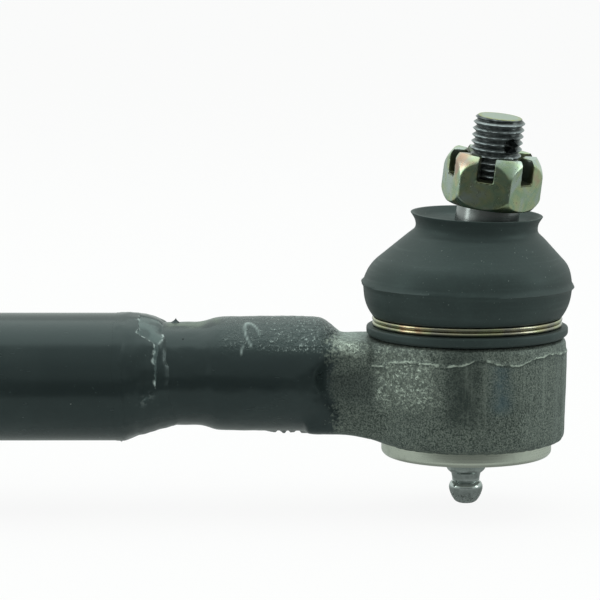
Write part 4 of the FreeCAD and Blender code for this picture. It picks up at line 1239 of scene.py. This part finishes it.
    def lip(self, shop: Workshop) -> None:
        """The machined boss with the lip that is rolled over the end plate."""
        top = self.eye_floor + 0.35
        profile = bevelled((
            (self.boss_radius - 2.2, top),
            (self.boss_radius, top, 0.05),
            (self.boss_radius, self.boss_floor + 0.75, 0.35),
            (self.boss_radius - 0.55, self.boss_floor + 0.12, 0.35),
            (self.boss_radius - 1.35, self.boss_floor, 0.3),
            (self.lip_opening + 0.5, self.boss_floor + 0.05, 0.35),
            (self.lip_opening, self.boss_floor + 0.4, 0.25),
            (self.lip_opening + 0.02, self.plate_floor + 0.03),
        ), 6)
        piece = shop.lathe("rolled_lip", profile, lambda rows: rows, 192)
        finish = TurnedSteel("machined_boss", colour=(0.72, 0.755, 0.66), dull=(0.52, 0.55, 0.475), roughness=0.27)
        shop.put(piece, finish.material(), Body.ROD)


@dataclass
class Boot:
    """The rubber boot, whose foot stays upright while its neck follows the stud."""

    foot: float = 8.22
    flange: float = 19.6
    groove_floor: float = 10.18
    groove_roof: float = 12.08
    groove_radius: float = 17.6
    waist: float = 18.4
    belly: float = 20.2
    belly_height: float = 18.3
    shoulder: float = 6.65
    slope_radius: float = 14.06
    slope_height: float = 26.9
    neck: float = 11.75
    neck_height: float = 29.7
    rim: float = 12.8
    rim_height: float = 32.1
    seam: float = 0.5
    shift: float = 2.2
    slant: float = math.radians(2.6)
    seam_slant: float = math.radians(1.1)
    back_limit: float = 20.44
    segments: int = 192

    def share(self, height: np.ndarray) -> np.ndarray:
        """How far a height follows the stud."""
        return smooth(height, self.belly_height, self.neck_height)

    def outside(self) -> np.ndarray:
        """The outer profile from the foot to the rim, as (radius, height)."""
        foot = bevelled((
            (self.flange - 3.0, self.foot),
            (self.flange - 0.75, self.foot, 0.2),
            (self.flange, self.foot + 0.55, 0.4),
            (self.flange, self.groove_floor, 0.4),
            (self.groove_radius, self.groove_floor, 0.25),
            (self.groove_radius, self.groove_roof, 0.2),
            (self.waist, self.groove_roof + 0.05, 0.0),
        ), 4)
        rise = np.linspace(0, 1, 15)[1:]
        belly = np.stack([self.belly - (self.belly - self.waist) * (1 - rise) ** 2.6,
                          self.groove_roof + 0.05 + (self.belly_height - self.groove_roof - 0.05) * rise], -1)
        turn = np.linspace(0, math.pi / 4, 12)[1:]
        dome = np.stack([self.belly - self.shoulder + self.shoulder * np.cos(turn),
                         self.belly_height + self.shoulder * np.sin(turn)], -1)
        top = bevelled((
            tuple(dome[-1]),
            (self.slope_radius - 0.75, self.slope_height + 0.75, 1.2),
            (self.neck, self.neck_height - 0.75, 1.3),
            (self.neck + 0.12, self.neck_height + 0.9, 0.9),
            (self.rim, self.rim_height - 0.1, 0.12),
            (self.rim - 0.12, self.rim_height, 0.1),
            (self.rim - 0.55, self.rim_height - 0.02, 0.1),
            (self.neck - 1.0, self.neck_height + 0.9, 0.8),
            (8.2, self.neck_height + 0.35, 0.9),
            (6.35, self.neck_height - 0.4, 0.3),
            (6.5, self.neck_height - 3.0),
        ), 6)
        slope = dome[-1] + np.linspace(0.12, 1, 8)[:, None] * (top[1] - dome[-1])
        return np.concatenate([foot, belly, dome, slope, top[2:]])

    def inside(self) -> np.ndarray:
        """The hollow's profile from the grip down to the foot."""
        return np.array([
            (10.4, self.neck_height - 3.3), (13.0, self.slope_height - 1.4), (16.5, self.belly_height + 3.2),
            (18.0, self.belly_height + 1.0), (18.3, self.belly_height - 1.0), (17.0, self.groove_roof + 1.6),
            (15.0, self.groove_roof + 0.5), (14.97, 11.6), (14.52, 11.5), (14.52, self.foot),
            (self.flange - 3.0, self.foot),
        ])

    def build(self, shop: Workshop) -> None:
        """Make the boot."""
        profile = np.concatenate([self.outside(), self.inside()])
        angles = circle(self.segments)
        rows = []
        for radius, height in profile:
            spot = round_row(radius, height, angles)
            on_skin = smooth(np.array(radius), 13.2, 15.0) * smooth(np.array(height), 12.4, 14.0)
            line = height - self.belly_height - radius * np.cos(angles) * math.tan(-self.seam_slant)
            ridge = self.seam * np.exp(-(np.abs(line) / 0.34) ** 2.4) + 0.09 * np.exp(-(line / 1.3) ** 2)
            sag = wave(spot, 13.0, 2.9) * 0.14 + wave(spot, 5.0, 6.1) * 0.04
            lift = (ridge * (radius > 19.2) + sag) * on_skin
            spot[:, 0] *= 1 + lift / radius
            spot[:, 1] *= 1 + lift / radius
            follow = float(self.share(np.array(height)))
            spot = turned(spot - (0, 0, height), ("Y", self.slant * follow)) + (self.shift * follow, 0, height)
            rows.append(turned(spot, ("Z", LEAN_TURN)))
        grid = np.array(rows)
        grid[..., 1] = np.minimum(grid[..., 1], self.back_limit)
        piece = shop.mesh("boot_skin", grid + BALL, sharp=75)
        shop.put(piece, BootRubber().material(), stands_for=["dust_boot"])
        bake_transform(piece)


@dataclass
class Ring:
    """Two turns of plated wire in the boot's groove, which cross once behind it."""

    outer: float = 18.5
    wire: float = 0.43
    pitch: float = 0.88
    low: float = 10.68
    cross: float = math.radians(34)
    sides: int = 14

    def build(self, shop: Workshop) -> None:
        """Make the wire."""
        start = math.pi / 2 + self.cross / 2 - 2 * math.pi
        angles = np.linspace(start, start + 4 * math.pi - self.cross, 520)
        climb = smooth(angles, math.pi / 2 - self.cross / 2, math.pi / 2 + self.cross / 2)
        height = self.low + self.pitch * climb
        middle = self.outer - self.wire
        turn = circle(self.sides)
        rows = []
        for angle, level in zip(angles, height):
            reach = middle + self.wire * np.cos(turn)
            rows.append(np.stack([reach * math.cos(angle), reach * math.sin(angle),
                                  level + self.wire * np.sin(turn)], -1))
        for end in (0, -1):
            centre = rows[end].mean(0)
            shrunk = centre + (rows[end] - centre) * 0.02
            rows.insert(0, shrunk) if end == 0 else rows.append(shrunk)
        piece = shop.mesh("ring_wire", np.array(rows) + BALL, sharp=50)
        finish = YellowZinc("ring_plate", grain=7.0, silver=(0.33, 0.31, 0.26), straw=(0.46, 0.42, 0.27),
                            green=(0.4, 0.42, 0.26), rose=(0.44, 0.31, 0.2), roughness=0.17, speck=0.4)
        shop.put(piece, finish.material(), Body.BOOT_FOOT, ["boot_ring"])


@dataclass
class Stud:
    """The ball stud, with a right-hand thread cut into it and a hole for the cotter pin."""

    ball: float = 11.0
    flat: float = -10.0
    neck: float = 5.0
    neck_top: float = 15.4
    flare_top: float = 18.9
    taper_top: float = 34.3
    taper_radius: float = 6.0
    slope: float = 0.0625
    relief: float = 4.3
    relief_top: float = 35.5
    crest: float = 4.95
    depth: float = 0.68
    pitch: float = 1.25
    end: float = 51.7
    end_radius: float = 4.15
    hole: float = 1.35
    hole_flare: float = 0.3
    hole_height: float = 46.6
    flank: float = 2.35
    land: float = 0.16
    thread_row: float = 0.078
    sharp: float = 32.0
    segments: int = 120

    def thread(self, angles: np.ndarray, height: float) -> np.ndarray:
        """The thread's radius round the stud at a height."""
        place = np.mod(height / self.pitch - angles / (2 * math.pi), 1.0)
        flank = np.clip((0.5 - np.abs(place - 0.5)) * self.flank - self.land, 0, 1)
        limit = min(self.crest, self.end_radius - 0.02 + (self.end - height) * 1.15)
        start = np.clip((height - self.relief_top) / 0.7, 0, 1)
        cut = self.crest - self.depth * (1 - flank)
        return np.minimum(cut if start >= 1 else self.relief + (cut - self.relief) * start, limit)

    def build(self, shop: Workshop) -> None:
        """Make the stud."""
        angles = circle(self.segments)
        low = math.asin(self.flat / self.ball)
        high = math.acos(self.neck / self.ball)
        turned_part = [(0.0, self.flat), (math.cos(low) * self.ball - 0.5, self.flat)]
        turned_part += [(self.ball * math.cos(a), self.ball * math.sin(a)) for a in np.linspace(low, high, 40)]
        flare = self.taper_radius + (self.taper_top - self.flare_top) * self.slope
        turned_part += [tuple(point) for point in bevelled((
            (self.neck, math.sin(high) * self.ball), (self.neck, self.neck_top, 0.8), (flare, self.flare_top, 0.8),
            (self.taper_radius, self.taper_top, 0.12), (self.relief, self.taper_top, 0.05),
            (self.relief, self.relief_top)), 5)[1:]]
        rows = [round_row(radius, height, angles) for radius, height in turned_part]
        for height in np.arange(self.relief_top + 0.05, self.end, self.thread_row):
            rows.append(round_row(self.thread(angles, height), height, angles))
        last = rows[-1] * (0.985, 0.985, 0) + (0, 0, self.end)
        rows += [last, last * (0.5, 0.5, 1), last * (0.0, 0.0, 1)]
        piece = shop.mesh("stud_skin", in_stud_frame(np.array(rows)) + BALL, sharp=self.sharp)
        half = np.array([(self.hole, 4.1), (self.hole + self.hole_flare, 4.9), (self.hole + self.hole_flare, 8.0),
                         (0.0, 8.0)])
        drill = np.concatenate([half[::-1] * (1, -1), half])
        tool = shop.lathe("drill", drill, lambda points: in_stud_frame(
            turned(points, ("Y", math.pi / 2)) + (0, 0, self.hole_height)), 48)
        shop.cut(piece, tool)
        shaded(piece.data, self.sharp)
        axis = stud_axis()
        hole_axis = tuple(in_stud_frame(np.array((1.0, 0.0, 0.0))))
        steel = TurnedSteel("stud_turning", axis, (0.3, 0.31, 0.31), (0.11, 0.12, 0.118), roughness=0.22)
        finish = StudSteel(axis, hole_axis, steel)
        shop.put(piece, finish.material(), Body.STUD, ["ball_stud"])


@dataclass
class Nut:
    """The castle nut, taken from its solid, with its corners turned round and its edges broken."""

    floor: float = 34.6
    height: float = 10.0
    corner: float = 9.66
    crown: float = 7.95
    crown_depth: float = 3.9
    foot: float = 8.35
    foot_depth: float = 2.3
    slot: float = 3.2
    slot_depth: float = 4.6
    bore: float = 5.05
    voxel: float = 0.15
    rounds: int = 3

    def limit(self, height: np.ndarray) -> np.ndarray:
        """The radius to which the corners are turned at a height."""
        top = self.floor + self.height
        high = np.clip((height - top + self.crown_depth) / self.crown_depth, 0, 1) ** 1.8
        low = np.clip((self.floor + self.foot_depth - height) / self.foot_depth, 0, 1) ** 1.6
        return self.corner - (self.corner - self.crown) * high - (self.corner - self.foot) * low

    def build(self, shop: Workshop) -> None:
        """Make the nut."""
        piece = shop.copied("castle_nut", "nut_skin", self.voxel)
        points = in_stud_frame(shop.points(piece), NUT_TURN, back=True)
        reach = np.hypot(points[:, 0], points[:, 1])
        points[:, :2] *= np.minimum(1, self.limit(points[:, 2]) / np.maximum(reach, 1))[:, None]
        points = shop.relaxed(piece, points, self.rounds, 0.5)
        x, y, z = points.T
        top = self.floor + self.height
        half = self.slot / 2
        slots = sum(smooth(-np.abs(x * math.sin(turn) - y * math.cos(turn)), -half - 0.15, -half + 0.1)
                    * (z > top - self.slot_depth - 0.3) for turn in np.radians([30, 90, 150]))
        inside = smooth(-np.hypot(x, y), -self.bore - 0.9, -self.bore - 0.5)
        shop.marks(piece, grime=np.clip(np.maximum(slots, inside), 0, 1))
        shop.moved(piece, in_stud_frame(points, NUT_TURN))
        finish = YellowZinc("nut_plate", grain=6.5)
        shop.put(piece, finish.material(), Body.NUT, ["castle_nut"])


@dataclass
class Nipple:
    """The grease nipple: hexagon, waist and rounded head with a small inlet."""

    top: float = -12.5
    seat: float = -15.2
    flats: float = 7.0
    corner: float = 3.8
    chamfer: float = 0.85
    turn: float = math.radians(-15.7)
    hexagon_floor: float = -18.9
    tip: float = -24.9
    segments: int = 144

    def hexagon(self, angles: np.ndarray) -> list[np.ndarray]:
        """The hexagon's rows of (radius, height) round the nipple, its corners turned round."""
        side = np.abs(np.mod(np.degrees(angles), 60.0) - 30.0)
        reach = self.flats / 2 / np.cos(np.radians(side))
        rows = []
        for height in (self.seat, *np.linspace(self.hexagon_floor + self.chamfer, self.hexagon_floor, 8)):
            low = np.clip((self.hexagon_floor + self.chamfer - height) / self.chamfer, 0, 1)
            rows.append((np.minimum(reach, self.corner - 0.85 * low ** 1.3), height))
        return rows

    def build(self, shop: Workshop) -> None:
        """Make the nipple."""
        angles = circle(self.segments)
        head = bevelled((
            (2.9, self.hexagon_floor - 0.02), (2.7, -19.8, 0.3), (2.68, -20.35, 0.1), (2.5, -20.5, 0.05),
            (2.95, -20.75, 0.15), (3.3, -21.4, 0.4), (3.3, -22.1, 0.5), (2.95, -23.3, 0.7),
            (2.15, self.tip + 0.35, 0.5), (1.45, self.tip, 0.2), (0.8, self.tip, 0.1), (0.72, self.tip + 0.3, 0.1),
            (0.72, self.tip + 1.2), (1.3, self.tip + 1.8), (1.3, self.top - 0.5), (0.8, self.top - 0.4),
            (0.8, self.top)), 5)
        profile = [(0.8, self.top), (2.9, self.top), (2.9, self.seat), *self.hexagon(angles), *head]
        rows = np.stack([round_row(radius, height, angles) for radius, height in profile])
        piece = shop.mesh("nipple_skin", turned(rows, ("Z", self.turn)) + BALL, sharp=24)
        shop.put(piece, BrightZinc("nipple_plate").material(), Body.ROD, ["nipple_body"])


@dataclass
class Inside:
    """The solids inside the joint, which keep their shapes, and the check spring, copied as a coil of its own."""

    def build(self, shop: Workshop) -> None:
        """Dress the solids."""
        plastic = PlainFinish("bearing_plastic", (0.8, 0.78, 0.7), (0.7, 0.68, 0.6), 0.45, 0.0).material()
        spring = PlainFinish("blued_spring", (0.3, 0.31, 0.33), (0.2, 0.21, 0.24), 0.3, 1.0).material()
        plate = TurnedSteel("plated_plate", colour=(0.5, 0.52, 0.5), dull=(0.36, 0.38, 0.36)).material()
        for node in ("upper_seat", "lower_seat"):
            shop.dress(node, plastic)
        for node in ("disc_spring", "nipple_check_ball"):
            shop.dress(node, spring)
        coil = placed("check_spring_coil", shop.frame["nodes"]["nipple_check_spring"].data.copy())
        shop.put(coil, spring, stands_for=["nipple_check_spring"])
        heights = shop.points(coil)[:, 2]
        tuple((BALL + (0, 0, heights.max())) * MM)
        tuple((BALL + (0, 0, heights.min())) * MM)
        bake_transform(coil)
        shop.dress("end_plate", plate)


@dataclass
class Studio:
    """Floor, soft lights, surroundings and the camera."""

    floor: float = -26.0
    focal: float = 168.0
    elevation: float = 7.3
    distance: float = 544.7
    target: tuple = (147.48, 0.0, 15.06)
    tint: tuple = (0.91, 1.0, 0.95)
    white: tuple = (1.0, 1.0, 1.0)
    card: tuple = (0.8, 0.8, 0.79)
    floor_reach: float = 6.0
    front: float = 0.088
    back: float = 0.47
    under_eye: float = 0.6
    room: float = 0.37
    backdrop: float = 0.42
    ceiling: float = 0.26
    walls: float = 0.6
    low_shade: float = 0.19
    mirrored: float = 0.3
    lit: tuple = (0.15, 0.0, 0.01)
    lamps: tuple = (
        ("overhead", (0.14, 0.12, 0.8), (1.2, 1.0), 3.4),
        ("left", (-0.62, -0.12, 0.3), (0.2, 0.5), 0.9),
        ("right", (0.9, -0.12, 0.3), (0.2, 0.5), 0.9),
    )

    def build(self) -> None:
        """Make everything round the object."""
        self.make_floor()
        self.make_world()
        self.make_lights()
        self.make_camera()
        settings = bpy.context.scene.view_settings
        settings.view_transform = "Standard"

    def make_floor(self) -> None:
        """A pale floor that keeps the object's shadow and shows white, and ends in a dim room in front; in
        reflections it glows, with a painted shadow under the eye.
        """
        mesh = bpy.data.meshes.new("floor")
        reach, level = self.floor_reach, self.floor * MM
        corners = [(-reach, -reach, level), (reach, -reach, level), (reach, reach, level), (-reach, reach, level)]
        mesh.from_pydata(corners, [], [(0, 1, 2, 3)])
        floor = placed("floor", mesh)
        paint = Paint("pale_floor")
        camera, through, mirrored = (paint.ray(kind) for kind in ("Camera", "Transmission", "Glossy"))
        # Painted shadow of the eye in the floor's glow that reflections see, and a dimmer band in front.
        under = paint.off_axis((0, 0, 1)).step(17, 29).span(self.under_eye, 1.0)
        near = paint.part("Y").step(-0.066, -0.05).span(self.front, self.back) * under
        card = paint.node("ShaderNodeBsdfDiffuse", {}, Color=self.card)
        white = paint.node("ShaderNodeEmission", {}, Color=self.white, Strength=1.0)
        table = paint.node("ShaderNodeEmission", {}, Color=self.tint, Strength=near)
        shown = paint.node("ShaderNodeMixShader", {}, camera.most(through) * 0.9, card, white)
        shown = paint.node("ShaderNodeMixShader", {}, mirrored, shown, table)
        paint.end("ShaderNodeOutputMaterial", shown)
        mesh.materials.append(paint.material)

    def make_world(self) -> None:
        """Surroundings: a white backdrop, bright overhead, and a dimmer room on the camera's side."""
        world = bpy.data.worlds.new("studio")
        bpy.context.scene.world = world
        paint = Paint("studio", world, "Generated")
        behind = paint.part("Y").step(-0.45, 0.4)
        over = paint.part("Z").step(0.3, 0.95)
        side = paint.part("X")
        low = 1 - paint.part("Z").step(-0.1, 0.22)
        walls = (side * side).step(0.3, 0.85) * (1 - behind) * self.walls
        room = behind * self.backdrop + over * self.ceiling + walls + self.room
        room = room - low * (1 - behind) * self.low_shade
        seen = paint.ray("Camera").most(paint.ray("Transmission"))
        strength = paint.blend(room, 1.0, seen.most(paint.ray("Glossy") * behind * self.mirrored))
        colour = paint.mix(self.tint, self.white, seen)
        light = paint.node("ShaderNodeBackground", {}, Color=colour, Strength=strength)
        paint.end("ShaderNodeOutputWorld", light)

    def make_lights(self) -> None:
        """Soft lights: a wide one overhead and a strip at each side."""
        for name, place, size, power in self.lamps:
            data = bpy.data.lights.new(name, "AREA")
            data.shape = "RECTANGLE"
            data.size, data.size_y = size
            data.energy = power
            data.color = self.tint
            lamp = placed(name, data)
            lamp.location = place
            lamp.rotation_euler = facing(Vector(self.lit) - Vector(place))

    def make_camera(self) -> None:
        """The photograph's view: level along the rod's side, from slightly above."""
        data = bpy.data.cameras.new("camera")
        data.lens = self.focal
        data.clip_end = 20.0
        camera = placed("camera", data)
        tilt = math.radians(self.elevation)
        back = Vector((0.0, -math.cos(tilt), math.sin(tilt)))
        camera.location = (Vector(self.target) + back * self.distance) * MM
        camera.rotation_euler = facing(-back)
        bpy.context.scene.camera = camera


def main() -> None:
    """Load the solids, build every piece in order, and note the sizes."""
    logging.basicConfig(level=logging.INFO, format="%(name)s %(message)s")
    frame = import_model()
    Studio().build()
    shop = Workshop(frame)
    for part in (Tube(), Weld(), Arm(), Boot(), Ring(), Stud(), Nut(), Nipple(), Inside()):
        part.build(shop)
        LOG.info("%s done", type(part).__name__)
    LOG.info("%d new pieces", len(shop.made))


if __name__ == "__main__":
    main()
